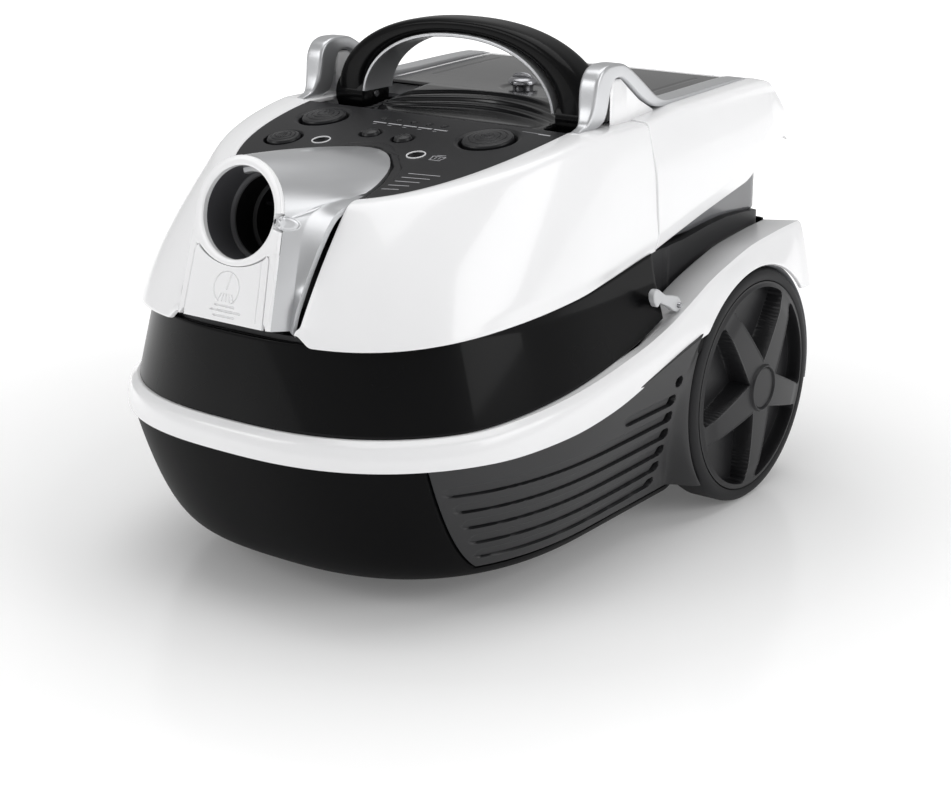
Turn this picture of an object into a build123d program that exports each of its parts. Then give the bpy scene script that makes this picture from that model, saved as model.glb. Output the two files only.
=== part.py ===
from build123d import *
import math
import os

# Wet and dry washing vacuum cleaner on two large rear wheels and a front caster.
# Millimetres. +X is the machine's right, -Y its front, +Z up. The origin is on the
# floor, in the middle of the machine's length and width.

os.makedirs("parts", exist_ok=True)

# ---- driving dimensions -------------------------------------------------------
REAR_Y = 244.6            # tail of the clean-water tank
HANDLE_TOP_Z = 360.0
WALL = 3.0                # moulded wall of the casings
GAP = 0.4                 # gap between parts that move past each other
NOSE_CENTRE_Y = -35.0     # where the superellipse noses of the lower hulls begin

WHEEL_Y = 139.5
WHEEL_R = 88.7
TYRE_INNER_R = 78.8
WHEEL_IN_X = 142.0
TYRE_OUT_X = 175.0
HUB_CAP_X = 184.5
AXLE_R = 5.0
ARCH_R = 92.0             # wheel arch in the fender
WELL_X = 136.0            # inner wall of the wheel well

INLET_Y = -221.5          # centre of the hose inlet's face
INLET_Z = 262.8
FACE_LEAN = 15.5          # degrees the inlet face leans back from upright
INLET_R = 29.6            # hose bore
RIM_R = 35.7
INLET_DEPTH = 32.0

SEAM_Y = 40.0             # seam between the front container and the clean tank
DECK_REAR_Z = 295.0       # height of the control panel's rear edge
PANEL_REAR_Y = -22.0
PANEL_HALF_WIDTH = 113.5
PANEL_REACH = 172.0
PANEL_POWER = 2.5

HANDLE_Y = 20.0
HANDLE_PIVOT_Z = 298.0
HANDLE_HALF_WIDTH = 111.8
HANDLE_INNER = 82.0
HANDLE_HALF_DEPTH = 16.0
HANDLE_PIN_R = 4.0

CASTER_Y = -135.0
CASTER_R = 21.0
CASTER_TRAIL = 13.0
CASTER_RECESS_R = 47.0    # room in the pan for the caster to turn

LATCH_X0 = 158.8          # inner and outer face of the container latch
LATCH_X1 = 164.0
LATCH_Y = 44.0
LATCH_Z = 170.5
LATCH_PIN_R = 2.0

MOTOR_Z = 84.0
REEL_Y = 150.0


# ---- shared geometry ----------------------------------------------------------
def plan_wire(z, half_width, reach, power, centre_y, rear_y, rear_round):
    """Outline at one height: superellipse nose, straight flanks, rounded tail corners."""
    steps = 9
    nose = []
    for i in range(steps + 1):
        turn = math.pi / 2 * i / steps
        x = half_width * abs(math.cos(turn)) ** (2 / power)
        y = centre_y - reach * abs(math.sin(turn)) ** (2 / power)
        nose.append((x, y, z))
    right_nose = Spline(*nose, tangents=((0, -1, 0), (-1, 0, 0)))
    bend = rear_round * (1 - math.sqrt(0.5))
    flank_y = rear_y - rear_round
    tail_x = half_width - rear_round
    edges = [
        right_nose,
        right_nose.mirror(Plane.YZ),
        Line((-half_width, centre_y, z), (-half_width, flank_y, z)),
        ThreePointArc(
            (-half_width, flank_y, z), (-half_width + bend, rear_y - bend, z), (-tail_x, rear_y, z)
        ),
        Line((-tail_x, rear_y, z), (tail_x, rear_y, z)),
        ThreePointArc(
            (tail_x, rear_y, z), (half_width - bend, rear_y - bend, z), (half_width, flank_y, z)
        ),
        Line((half_width, flank_y, z), (half_width, centre_y, z)),
    ]
    return Wire(edges)


def hull(levels, rear_y, rear_round=12.0, inset=0.0):
    """Solid through plan outlines; levels are (height, half width, reach, power, centre y)."""
    wires = []
    for z, half_width, reach, power, centre_y in levels:
        wires.append(
            plan_wire(z, half_width - inset, reach - inset, power, centre_y, rear_y - inset, rear_round)
        )
    return Solid.make_loft(wires, ruled=True)


def side_prism(points, half_width=200.0, low_x=None):
    """Prism across the machine from a closed side outline of (y, z) points."""
    outline = make_face(Polyline([(y, z) for y, z in points], close=True))
    start = -half_width if low_x is None else low_x
    return extrude(Plane.YZ.offset(start) * outline, amount=half_width - start)


def above(profile, lift=0.0, ceiling=420.0):
    """Everything above a side profile of (y, z) points, lifted by a distance."""
    first_y = profile[0][0]
    last_y = profile[-1][0]
    points = [(y, z + lift) for y, z in profile]
    return side_prism(points + [(last_y, ceiling), (first_y, ceiling)])


def below(profile, lift=0.0, floor=-20.0):
    first_y = profile[0][0]
    last_y = profile[-1][0]
    points = [(y, z + lift) for y, z in profile]
    return side_prism(points + [(last_y, floor), (first_y, floor)])


def box(low, high):
    size = [high[i] - low[i] for i in range(3)]
    middle = [(high[i] + low[i]) / 2 for i in range(3)]
    return Pos(*middle) * Box(*size)


def bar_x(y, z, radius, x0, x1):
    """Round bar along X."""
    return Pos((x0 + x1) / 2, y, z) * Rot(0, 90, 0) * Cylinder(radius, abs(x1 - x0))


def bar_y(x, z, radius, y0, y1):
    return Pos(x, (y0 + y1) / 2, z) * Rot(90, 0, 0) * Cylinder(radius, abs(y1 - y0))


def bar_z(x, y, radius, z0, z1):
    return Pos(x, y, (z0 + z1) / 2) * Cylinder(radius, abs(z1 - z0))


def deck_z(y):
    """Height of the panel's surface: it falls towards the front, ever more steeply."""
    ahead = max(PANEL_REAR_Y - y, 0.0)
    return DECK_REAR_Z - 0.14 * ahead - 0.00042 * ahead * ahead


def save(shape, node):
    export_step(shape, "parts/" + node + ".step")


def mirrored(shape):
    return shape.mirror(Plane.YZ)


# Side profiles, as (y, z): the lower edge of the bumper band, its upper edge, which is
# also the ledge that the front container slides on, and the lower edge of the white shell.
BAND_LOW = [(-260, 112), (-150, 112), (-89, 116), (-43, 122), (10, 134), (51, 144), (71, 148), (240, 150)]
LEDGE = [(-260, 130.5), (-170, 131), (-89, 140), (-43, 146), (0, 153), (27, 160), (56, 168), (97, 181),
         (145, 192), (197, 196), (240, 197)]
SHELL_LOW = [(-260, 185.5), (-225, 186.5), (-136, 192), (-90, 194), (-51, 196), (-10, 201), (26, 206), (60, 209)]
TANK_LOW = [(30, 206), (54, 211), (106, 222), (175, 235), (192, 244), (211, 253), (224, 256), (260, 257)]

PAN_LEVELS = [(18, 140, 160, 2.6, NOSE_CENTRE_Y), (26, 150, 172, 2.6, NOSE_CENTRE_Y),
              (70, 164, 192, 2.6, NOSE_CENTRE_Y), (112, 172, 207, 2.6, NOSE_CENTRE_Y),
              (152, 170, 205, 2.6, NOSE_CENTRE_Y)]
BAND_LEVELS = [(100, 175.4, 210.9, 2.6, NOSE_CENTRE_Y), (127, 173.6, 209, 2.6, NOSE_CENTRE_Y),
               (140, 172, 205, 2.5, NOSE_CENTRE_Y), (200, 165.5, 200, 2.5, NOSE_CENTRE_Y)]
FLOAT_Y = -50.0
TUB_LEVELS = [(128, 168, 203.4, 2.5, NOSE_CENTRE_Y), (187, 151.6, 193.6, 3.0, NOSE_CENTRE_Y),
              (212, 146.5, 188, 3.1, NOSE_CENTRE_Y)]
SHELL_LEVELS = [(180, 153, 196.5, 3.2, NOSE_CENTRE_Y), (262, 145.5, 186.5, 2.3, 0.0),
                (312, 138.5, 168, 2.2, 0.0)]

deck_steps = [-163, -140, -112, -90, -68, -45, -22]
DECK = [(-260, 243), (-186, 262)] + [(y, deck_z(y)) for y in deck_steps] + [(260, DECK_REAR_Z + 0.4)]
TANK_TOP = [(30, 295.4), (60, 297.5), (84, 300), (205, 304), (212, 304), (235, 284), (246, 268)]


def wheel_wells(radius, inner_x=WELL_X):
    right = bar_x(WHEEL_Y, WHEEL_R, radius, inner_x, 220)
    return right + mirrored(right)


# ---- chassis ------------------------------------------------------------------
GRILLE_X = 129.5
GRILLE_WALL = 4.0
SLOT_PITCH = 12.9
SLOT_HEIGHT = 7.4
SLOT_LOW_Z = 38.8
LONG_SLOTS = 5
SHORT_SLOTS = [(-36, 33), (27, 39)]     # front and rear ends of the short slots on top


def pan_outer():
    return (hull(PAN_LEVELS, 96.0, 6.0) & below(BAND_LOW)) - wheel_wells(ARCH_R)


def pan_tail(inset=0.0):
    """Narrow rear of the pan, between the wheels."""
    return box((-134 + inset, 60, 22 + inset), (134 - inset, 221 - inset, 156)) & below(BAND_LOW, 2 * inset)


def grille_sides(grow):
    right = box((GRILLE_X - grow, -230, 28 - grow), (200, 75 + grow, 200))
    return right + mirrored(right)


def grille_blank():
    """Right side grille before its slots are cut."""
    skin = pan_outer() - hull(PAN_LEVELS, 96.0, 6.0, GRILLE_WALL)
    return skin & box((GRILLE_X, -230, 28), (200, 75, 200))


def pan_cavity():
    """Hollow of the pan; its wall steps inwards behind the side grilles."""
    narrow = hull(PAN_LEVELS, 96.0, 6.0, WALL + GRILLE_WALL)
    wide = hull(PAN_LEVELS, 96.0, 6.0, WALL) - grille_sides(WALL)
    cavity = (narrow + wide) & above([(-260, 22), (260, 22)])
    return cavity - wheel_wells(ARCH_R + WALL, WELL_X - WALL)


def louvre_slots():
    """Long slots one above the other, and two short ones on top, as wide as the side wall."""
    slots = []
    for i in range(LONG_SLOTS):
        z = SLOT_LOW_Z + i * SLOT_PITCH
        slots.append(box((GRILLE_X + 3, -225, z), (190, 30, z + SLOT_HEIGHT)))
    for i, (front_y, rear_y) in enumerate(SHORT_SLOTS):
        z = SLOT_LOW_Z + (LONG_SLOTS + i) * SLOT_PITCH
        slots.append(box((150, front_y, z), (190, rear_y, z + SLOT_HEIGHT)))
    return Compound(slots)


def base_pan():
    pan = pan_outer() + pan_tail() - pan_cavity() - pan_tail(WALL)
    pan = pan - grille_blank() - mirrored(grille_blank())
    window = box((GRILLE_X + 3, -120, 44), (190, 20, 100))
    pan = pan - window - mirrored(window)
    recess = bar_z(0, CASTER_Y, CASTER_RECESS_R, 0, 52)
    pan = pan - recess + (bar_z(0, CASTER_Y, CASTER_RECESS_R + WALL, 20, 55) - recess)
    pan = pan + bar_z(0, CASTER_Y, 9, 46, 62) - bar_z(0, CASTER_Y, 5.05, 40, 70)
    return pan - bar_x(WHEEL_Y, WHEEL_R, AXLE_R, -200, 200)


def side_grille():
    return grille_blank() - louvre_slots()


def band_solid():
    outline = hull(BAND_LEVELS, 224.0, 10.0) & above(BAND_LOW) & below(LEDGE)
    throat = hull([(90, 160.5, 196, 2.5, NOSE_CENTRE_Y), (230, 160.5, 196, 2.5, NOSE_CENTRE_Y)], 40.0, 2.0)
    tail = box((-WELL_X, 30, 90), (WELL_X, 240, 230))
    return outline - throat - tail - wheel_wells(ARCH_R)


def bumper_band():
    """White band round the machine; its rear grows into the two fenders."""
    nose_levels = [(120, 169, 204.4, 2.5, NOSE_CENTRE_Y), (145, 169, 204.4, 2.5, NOSE_CENTRE_Y)]
    sharp_rim = box((-200, -260, 127.5), (200, -230, 140)) - hull(nose_levels, 100)
    band = band_solid() - sharp_rim
    for x0 in (LATCH_X0 - 2.8, LATCH_X1 + 0.3):
        ear = box((x0, 39, 155), (x0 + 2.5, 49, 175)) - bar_x(LATCH_Y, LATCH_Z, LATCH_PIN_R, 140, 190)
        band = band + ear + mirrored(ear)
    return band


def arch_liners():
    """Lips that follow the tyres behind and above them, inside the fenders."""
    ring = bar_x(WHEEL_Y, WHEEL_R, ARCH_R - 0.2, 140, 168) - bar_x(WHEEL_Y, WHEEL_R, WHEEL_R + 1.3, 130, 180)
    lip = ring & box((130, WHEEL_Y, WHEEL_R + 45), (180, 240, 200))
    return Compound([lip, mirrored(lip)])


def core_housing():
    """Bulkhead, shelf under the clean tank, and the deck that carries the panel and handle."""
    shelf = box((-132, 50, 150.5), (132, 221, 202)) - box((-129, 49, 140), (129, 218, 199))
    bulkhead = box((-135.8, 45, 150.5), (135.8, 50, 291))
    deck = box((-112, -21, 288), (112, 52, 291)) + box((-112, -21, 284), (112, -18, 288))
    core = shelf + bulkhead + deck
    for side in (-1, 1):
        pocket_low = min(side * 81.2, side * 112.4)
        pocket_high = max(side * 81.2, side * 112.4)
        core = core - box((pocket_low, 1, 280), (pocket_high, 47, 300))
        core = core + box((pocket_low, -3, 277), (pocket_high, 50, 280))
        lug_low = min(side * 74, side * 80.8)
        lug = bar_x(HANDLE_Y, HANDLE_PIVOT_Z, 9, lug_low, lug_low + 6.8)
        lug = lug + box((lug_low, HANDLE_Y - 9, 289), (lug_low + 6.8, HANDLE_Y + 9, HANDLE_PIVOT_Z))
        core = core + lug
    core = core - bar_x(HANDLE_Y, HANDLE_PIVOT_Z, HANDLE_PIN_R, -108, 108)
    core = core - box((-50, 40, 172), (50, 51, 196))
    return core - bar_z(60, 150, 12, 190, 210)


def suction_gasket():
    """Rubber frame that seals the dirty tank's outlet against the bulkhead."""
    return box((-56, 34.6, 168), (56, 45, 200)) - box((-50, 30, 172), (50, 50, 196))


def control_panel():
    outline = hull([(240, PANEL_HALF_WIDTH, PANEL_REACH, PANEL_POWER, 0), (320, PANEL_HALF_WIDTH, PANEL_REACH,
                    PANEL_POWER, 0)], PANEL_REAR_Y + 30, 1.0)
    slab = outline & below(DECK) & above(DECK, -WALL) & box((-200, -300, 200), (200, PANEL_REAR_Y, 330))
    return slab - housing_prism(GAP + 0.6) - button_holes()


BUTTONS = {
    "power_button": (-77.0, -48.6, 16.0),
    "rewind_button": (69.0, -51.0, 18.0),
    "spray_button": (-75.0, -94.0, 12.0),
    "minus_button": (-18.9, -67.1, 6.5),
    "plus_button": (10.8, -69.1, 6.5),
}
INDICATORS = [(-44.3, -89.8), (40.4, -92.4)]
PANEL_TILT = 10.5


def on_panel(x, y, lift=0.0):
    """Place on the panel's surface, raised along its normal."""
    return Pos(x, y, deck_z(y)) * Rot(PANEL_TILT, 0, 0) * Pos(0, 0, lift)


def button_holes():
    holes = []
    for x, y, radius in BUTTONS.values():
        holes.append(on_panel(x, y) * Cylinder(radius + GAP, 20))
    for x, y in INDICATORS:
        holes.append(on_panel(x, y) * Cylinder(6.0, 20))
    for i in range(5):
        holes.append(on_panel(-29 + 13.1 * i, -39) * Cylinder(2.2, 20))
    return Compound(holes)


def button(node):
    x, y, radius = BUTTONS[node]
    return on_panel(x, y, -1.0) * Cylinder(radius, 8)


def indicator_rings():
    rings = []
    for x, y in INDICATORS:
        rings.append(on_panel(x, y, -1.2) * (Cylinder(6.0, 3) - Cylinder(4.8, 4)))
    return Compound(rings)


def circuit_board():
    return Pos(0, -58, 273.5) * Rot(PANEL_TILT, 0, 0) * Box(176, 66, 1.6)


def motor_can():
    return bar_y(0, MOTOR_Z, 40, -75, 10.6)


def fan_housing():
    case = bar_y(0, MOTOR_Z, 52, 11, 50) - bar_y(0, MOTOR_Z, 49, 14, 47)
    return case - bar_y(0, MOTOR_Z, 20, 40, 60) - bar_y(0, MOTOR_Z, 7, 5, 20)


def impeller():
    wheel = bar_y(0, MOTOR_Z, 45, 17, 20) + bar_y(0, MOTOR_Z, 10, 20, 38) + bar_y(0, MOTOR_Z, 4, 10.8, 17)
    for i in range(9):
        wheel = wheel + Pos(0, 24, MOTOR_Z) * Rot(0, 40 * i, 0) * Pos(26, 0, 0) * Rot(0, 30, 0) * Box(32, 8.4, 1.6)
    return wheel


def motor_mounts():
    rings = []
    for y in (-70, -4):
        seat = bar_y(0, MOTOR_Z, 40, y - 1, y + 9)
        ring = bar_y(0, MOTOR_Z, 46, y, y + 8) - seat
        rings.append(ring + (box((-30, y, 22), (30, y + 8, MOTOR_Z - 30)) - seat))
    return Compound(rings)


def suction_duct():
    """Upright duct from the bulkhead's port down to the fan's eye."""
    outer = box((-56, 50.2, 62), (56, 78, 198.5)) - box((-53, 53.2, 65), (53, 75, 195.5))
    return outer - box((-50, 49, 172), (50, 60, 195.5)) - bar_y(0, MOTOR_Z, 20, 45, 60)


def spray_pump():
    return box((70, -20, 25), (112, 40, 66)) + bar_y(91, 46, 15, 40, 70) + bar_z(91, 10, 6, 66, 90)


def reel_frame():
    base = box((-80, REEL_Y - 68, 27), (80, REEL_Y + 64, 30))
    pin = bar_z(0, REEL_Y, 8, 30, 80)
    return base + pin


def cable_drum():
    drum = bar_z(0, REEL_Y, 40, 33, 75) + bar_z(0, REEL_Y, 62, 33, 36) + bar_z(0, REEL_Y, 62, 72, 75)
    return drum - bar_z(0, REEL_Y, 8.1, 30, 80)


def exhaust_filter():
    """Cassette of pleated filter fleece in front of the rear vents."""
    return box((-110, 130, 96), (110, 214, 124)) - box((-104, 136, 110), (104, 208, 130))


def rear_cover():
    cover = box((-133, 221.2, 30), (133, 226, 196)) - bar_y(70, 120, 8, 215, 230)
    for i in range(6):
        cover = cover - box((-90, 220, 60 + 10 * i), (20, 228, 65 + 10 * i))
    return cover


def cable_outlet():
    """Rubber grommet that the mains lead runs through."""
    return bar_y(70, 120, 8, 221.2, 226) + bar_y(70, 120, 11, 226, 229) - bar_y(70, 120, 4.6, 215, 235)


def rear_axle():
    return bar_x(WHEEL_Y, WHEEL_R, AXLE_R, -176, 176)


def base_screws():
    screws = []
    for x in (-124, 124):
        for y in (-60, 150):
            screws.append(bar_z(x, y, 2, 27, 44) + bar_z(x, y, 4.5, 44, 47))
    return Compound(screws)


# ---- front container ----------------------------------------------------------
def tub_outer(inset=0.0):
    return hull(TUB_LEVELS, 34.0, 4.0, inset)


def dirty_tank():
    """Black tub under the white shell; its side is the machine's dark waist."""
    tub = tub_outer() & above(LEDGE, 1.0) & below(SHELL_LOW, -0.4)
    tub = tub - (tub_outer(WALL) & above(LEDGE, 1.0 + WALL))
    return tub - box((-50, 25, 172), (50, 40, 196))


def tank_seal():
    ring = tub_outer(WALL + 0.4) - tub_outer(WALL + 4.4)
    ring = ring & above(SHELL_LOW, -3.4) & below(SHELL_LOW, -0.4)
    return ring - box((-60.4, 20, 160), (60.4, 40, 220))


def float_cage():
    """Slotted basket under the lid that guides the float."""
    cage = bar_z(0, FLOAT_Y, 22, 160, 200) - bar_z(0, FLOAT_Y, 20, 162, 210)
    for turn in (0, 60, 120):
        cage = cage - (Pos(0, FLOAT_Y, 178) * Rot(0, 0, turn) * Box(60, 10, 22))
    return cage


def tank_lid():
    """Inner lid of the dirty tank: the air dome that turns down at the rear, and the float's cage."""
    plate = tub_outer(WALL + 1.6) & above(SHELL_LOW, -0.2) & below(SHELL_LOW, 2.8)
    dome = box((-60, -75, 190), (60, 30, 240)) & above(SHELL_LOW, 1.0)
    channel = box((-60, 0, 168), (60, 30, 212))
    hollow = box((-57, -72, 198), (57, 27, 237)) & above(SHELL_LOW, 2.8)
    hollow = hollow + box((-57, 3, 171), (57, 40, 215)) + bar_z(0, FLOAT_Y, 18, 180, 215)
    lid = plate + dome + channel - hollow + float_cage()
    return lid - bar_z(0, elbow_end().Y, 28.3, 150, 260)


def shell_cut():
    """Mouth in the shell's nose for the inlet housing."""
    mouth = Polyline([(-46, -250), (-46, -226), (-54, -165), (-50, -90), (50, -90), (54, -165), (46, -226),
                      (46, -250)], close=True)
    return extrude(Plane.XY.offset(170) * make_face(mouth), amount=150)


def front_shell():
    outer = hull(SHELL_LEVELS, 250.0, 30.0) & below(DECK) & above(SHELL_LOW)
    inner = hull(SHELL_LEVELS, 250.0, 30.0, WALL) & below(DECK, -WALL)
    front = box((-200, -260, 170), (200, SEAM_Y - 1, 330))
    opening_levels = []
    for z in (230, 330):
        opening_levels.append((z, PANEL_HALF_WIDTH + 0.6, PANEL_REACH + 0.6, PANEL_POWER, 0))
    shell = ((outer - inner) & front) - hull(opening_levels, 60.0, 1.0) - shell_cut()
    bridge = hull(SHELL_LEVELS, 250.0, 30.0, WALL - 1) & box((-200, 33, 252), (200, SEAM_Y - 1, 258))
    return shell + bridge


FACE = Plane(origin=(0, INLET_Y, INLET_Z), x_dir=(1, 0, 0),
             z_dir=(0, -math.cos(math.radians(FACE_LEAN)), math.sin(math.radians(FACE_LEAN))))
FACE_DROP = 69.5
FLAP_PIVOT_DROP = -67.0
FLAP_PIVOT_DEPTH = 2.0
FLAP_PIN_R = 1.0
SPRAY_BORE_R = 4.5
SPRAY_BORE_END = 20.0


def housing_prism(grow=0.0):
    """Plan of the silver inlet housing: it widens behind the face and ends in a round tip."""
    right = [(37.5, -250), (37.8, -228), (41, -195), (48, -160), (47, -138), (36, -112), (20, -97)]
    points = [(x + grow, y) for x, y in right] + [(0, -91 + grow)]
    points = points + [(-x - grow, y) for x, y in reversed(right)]
    outline = make_face(Polyline(points, close=True))
    return extrude(Plane.XY.offset(180) * outline, amount=140)


def arch_wire(plane, half_width, top, shoulder, bottom):
    left_foot = plane.from_local_coords(Vector(-half_width, bottom, 0))
    left = plane.from_local_coords(Vector(-half_width, shoulder, 0))
    crown = plane.from_local_coords(Vector(0, top, 0))
    right = plane.from_local_coords(Vector(half_width, shoulder, 0))
    right_foot = plane.from_local_coords(Vector(half_width, bottom, 0))
    edges = [Line(left_foot, left), ThreePointArc(left, crown, right), Line(right, right_foot),
             Line(right_foot, left_foot)]
    return Wire(edges)


def housing_form(inset):
    behind = FACE.offset(-3.2)
    tail = Plane(origin=(0, -88, 0), x_dir=(1, 0, 0), z_dir=(0, -1, 0))
    wires = [arch_wire(behind, 36.2 - inset, 36.2 - inset, 0, -90),
             arch_wire(tail, 52 - inset, 284 - inset, 255 - inset, 150)]
    return Solid.make_loft(wires, ruled=True)


def inlet_housing():
    skin = (housing_form(0) & housing_prism()) - (housing_form(WALL) & housing_prism(-WALL))
    skin = skin & above([(-260, 190), (-190, 194), (-88, 200)])
    skin = skin & above([(-260, 150), (-214, 150), (-213.9, 198), (-88, 200)])
    return skin - release_button_form(0.3, 30, 45) - flap_pivot(2.6, 36)


def flap_outline(grow):
    foot_y = -68.6 - 5 * grow
    points = [(-33.3 - grow, foot_y), (-30.6 - grow, -27.0 + grow), (-28.5, -24.6 + grow)]
    side = Polyline(points)
    arc = ThreePointArc(points[-1], (0, -33.9 + grow), (28.5, -24.6 + grow))
    other = Polyline([(28.5, -24.6 + grow), (30.6 + grow, -27.0 + grow), (33.3 + grow, foot_y)])
    foot = Line((33.3 + grow, foot_y), (-33.3 - grow, foot_y))
    return make_face(Wire([*side.edges(), arc, *other.edges(), foot]))


def release_button_form(grow, x0, x1):
    """Oval prism along X, where the hose-release button sits in the housing's flank."""
    radius = 4.6 + grow
    oval = bar_x(-219, INLET_Z, radius, x0, x1) + bar_x(-211, INLET_Z, radius, x0, x1)
    return oval + box((x0, -219, INLET_Z - radius), (x1, -211, INLET_Z + radius))


def inlet_face():
    """White face: the rim round the hose bore, and the frame of the spray flap below it."""
    plate = make_face(Polyline([(-35.7, 0), (35.7, 0), (38.2, -FACE_DROP), (-38.2, -FACE_DROP)], close=True))
    face = extrude(FACE * Circle(RIM_R), amount=-WALL) + extrude(FACE * plate, amount=-WALL)
    face = face - extrude(FACE.offset(1) * Circle(INLET_R), amount=-10)
    face = face - extrude(FACE.offset(1) * flap_outline(GAP), amount=-2 * WALL)
    return face - release_button_form(0.3, 30, 45) - flap_pivot(FLAP_PIN_R + 0.05, 50)


def inlet_liner():
    tube = extrude(FACE.offset(-WALL) * Circle(31.8), amount=-41)
    tube = tube - extrude(FACE.offset(1) * Circle(INLET_R), amount=-(INLET_DEPTH + 1))
    return tube - extrude(FACE.offset(1) * Circle(26.5), amount=-100)


ELBOW_START = 44.3
ELBOW_RUN = 28.0


def elbow_end():
    return FACE.offset(-ELBOW_START - ELBOW_RUN).origin


def elbow_form(radius, foot_z):
    run = extrude(FACE.offset(-ELBOW_START) * Circle(radius), amount=-ELBOW_RUN)
    end = elbow_end()
    return run + bar_z(0, end.Y, radius, foot_z, end.Z) + Pos(end) * Sphere(radius)


def inlet_elbow():
    """Duct that turns the incoming flow down into the dirty-water tank."""
    mouth = extrude(FACE.offset(-ELBOW_START + 1) * Circle(25.5), amount=-5)
    return elbow_form(28, 176) - elbow_form(25.5, 170) - mouth


def spray_socket():
    """Snap-in water socket behind the flap."""
    place = FACE.offset(-WALL)
    body = extrude(place * Pos(0, -50) * Circle(9.0), amount=-20)
    flange = extrude(place * Pos(0, -50) * Rectangle(65.6, 26), amount=-2)
    return body + flange - extrude(FACE * Pos(0, -50) * Circle(SPRAY_BORE_R), amount=-SPRAY_BORE_END)


def flap_pivot(radius, half_length):
    """Round bar along X at the flap's lower edge."""
    pivot = FACE.from_local_coords(Vector(0, FLAP_PIVOT_DROP, -FLAP_PIVOT_DEPTH))
    return bar_x(pivot.Y, pivot.Z, radius, -half_length, half_length)


def spray_flap():
    lid = extrude(FACE * flap_outline(0), amount=-2.4)
    return lid + flap_pivot(2.0, 30) + flap_pivot(FLAP_PIN_R, 36.5)


def hose_release_button():
    return release_button_form(0, 33.4, 41.6)


def foam_filter():
    return box((-56.5, 3.5, 172), (56.5, 18, 200))


def float_cup():
    return bar_z(0, FLOAT_Y, 18, 162.3, 178)


# ---- clean-water tank -----------------------------------------------------------
def tank_shell():
    outer = hull(SHELL_LEVELS, REAR_Y, 42.0) & below(TANK_TOP) & above(TANK_LOW)
    inner = hull(SHELL_LEVELS, REAR_Y, 42.0, WALL) & below(TANK_TOP, -WALL)
    rear = box((-200, SEAM_Y, 170), (200, 260, 330))
    shell = (outer - inner) & rear
    plate_hole = box((-112.4, 61.5, 280), (112.4, 204.2, 320)) + box((-112.4, 30, 280), (112.4, 70, 320))
    return shell - plate_hole


def loop_infills():
    """White wedges set in the two silver loops at the handle's feet."""
    outline = [(8.4, 296.2), (9.2, 322), (13, 328), (24, 328), (47, 311), (65, 301.6), (65, 299), (41, 297)]
    wedge = side_prism(outline, 127, 114)
    return Compound([wedge, mirrored(wedge)])


def tank_body():
    """Smoky clear tank inside the white shell; its foot shows below the shell at the rear."""
    outer = box((-126, 54, 203), (126, 229, 298.6))
    outer = fillet(outer.edges().filter_by(Axis.Z), 14)
    inner = box((-123, 57, 206), (123, 226, 300))
    inner = fillet(inner.edges().filter_by(Axis.Z), 11)
    outer = outer & below([(50, 294), (84, 297), (205, 300.5), (212, 297), (230, 281)], -0.5)
    return outer - inner - bar_z(60, 150, 6, 200, 210)


def tank_top_plate():
    return box((-112.2, 61.7, 300), (112.2, 204, 303)) - bar_z(0, 88, 8.8, 290, 310)


def tank_valve():
    return bar_z(60, 150, 10, 194, 202.8) + bar_z(60, 150, 6, 202.8, 212) - bar_z(60, 150, 3, 190, 220)


def filler_cap():
    return bar_z(0, 88, 11, 303.4, 309) + bar_z(0, 88, 8.4, 294, 303.4) + box((-9, 86.5, 309), (9, 89.5, 313))


def bracket():
    """Silver loop at the handle's foot and the rail that runs back from it."""
    outline = [(-23, 296), (-12, 303), (-8, 330), (-2, 337), (6, 339), (25, 338), (50, 322), (70, 309), (82, 305.5),
               (200, 308), (204, 304.2), (84, 300.3), (66.4, 301.2), (47.2, 311.4), (24.2, 328.3), (12.8, 328.3),
               (8.9, 322), (8.1, 300), (7, 296)]
    return side_prism(outline, 128.0, 112.8) & above([(-40, 296), (43, 296), (60, 297.6), (84, 300.1), (240, 305.2)])


# ---- handle ---------------------------------------------------------------------
def handle_arch(outer_half, outer_top, inner_half, inner_top, foot_z, half_depth):
    steps = 14
    outer = []
    inner = []
    for i in range(steps + 1):
        turn = math.pi * i / steps
        side = math.cos(turn)
        rise = math.sin(turn)
        spread = math.copysign(abs(side) ** 0.8, side)
        outer.append((outer_half * spread, foot_z + (outer_top - foot_z) * rise ** 0.9))
        inner.append((inner_half * spread, foot_z + (inner_top - foot_z) * rise ** 0.9))
    face = make_face(Polyline(outer + list(reversed(inner)), close=True))
    return extrude(Plane.XZ.offset(-HANDLE_Y) * face, amount=half_depth, both=True)


def handle_shell():
    """Black outer shell of the carrying handle with its two round feet."""
    arch = handle_arch(HANDLE_HALF_WIDTH, HANDLE_TOP_Z, 85.0, 349.5, HANDLE_PIVOT_Z, HANDLE_HALF_DEPTH)
    foot = bar_x(HANDLE_Y, HANDLE_PIVOT_Z, HANDLE_HALF_DEPTH, HANDLE_INNER, HANDLE_HALF_WIDTH)
    handle = arch + foot + mirrored(foot)
    return handle - bar_x(HANDLE_Y, HANDLE_PIVOT_Z, HANDLE_PIN_R + 0.05, -108.5, 108.5) - handle_trim()


def handle_trim():
    """Silver inner face of the handle."""
    arch = handle_arch(85.0, 349.5, HANDLE_INNER, 346.8, HANDLE_PIVOT_Z, HANDLE_HALF_DEPTH)
    return arch - box((-200, 0, 280), (200, 60, HANDLE_PIVOT_Z + HANDLE_HALF_DEPTH + 1))


# ---- latches --------------------------------------------------------------------
def latch_lever():
    """Hook on the ledge that locks the front container."""
    arm = side_prism([(41, 166), (47, 175), (28, 180), (18, 187), (11, 185), (16, 175), (26, 170)], LATCH_X1, LATCH_X0)
    boss = bar_x(LATCH_Y, LATCH_Z, 5, LATCH_X0, LATCH_X1)
    return arm + boss - bar_x(LATCH_Y, LATCH_Z, LATCH_PIN_R + 0.05, 140, 190)


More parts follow.
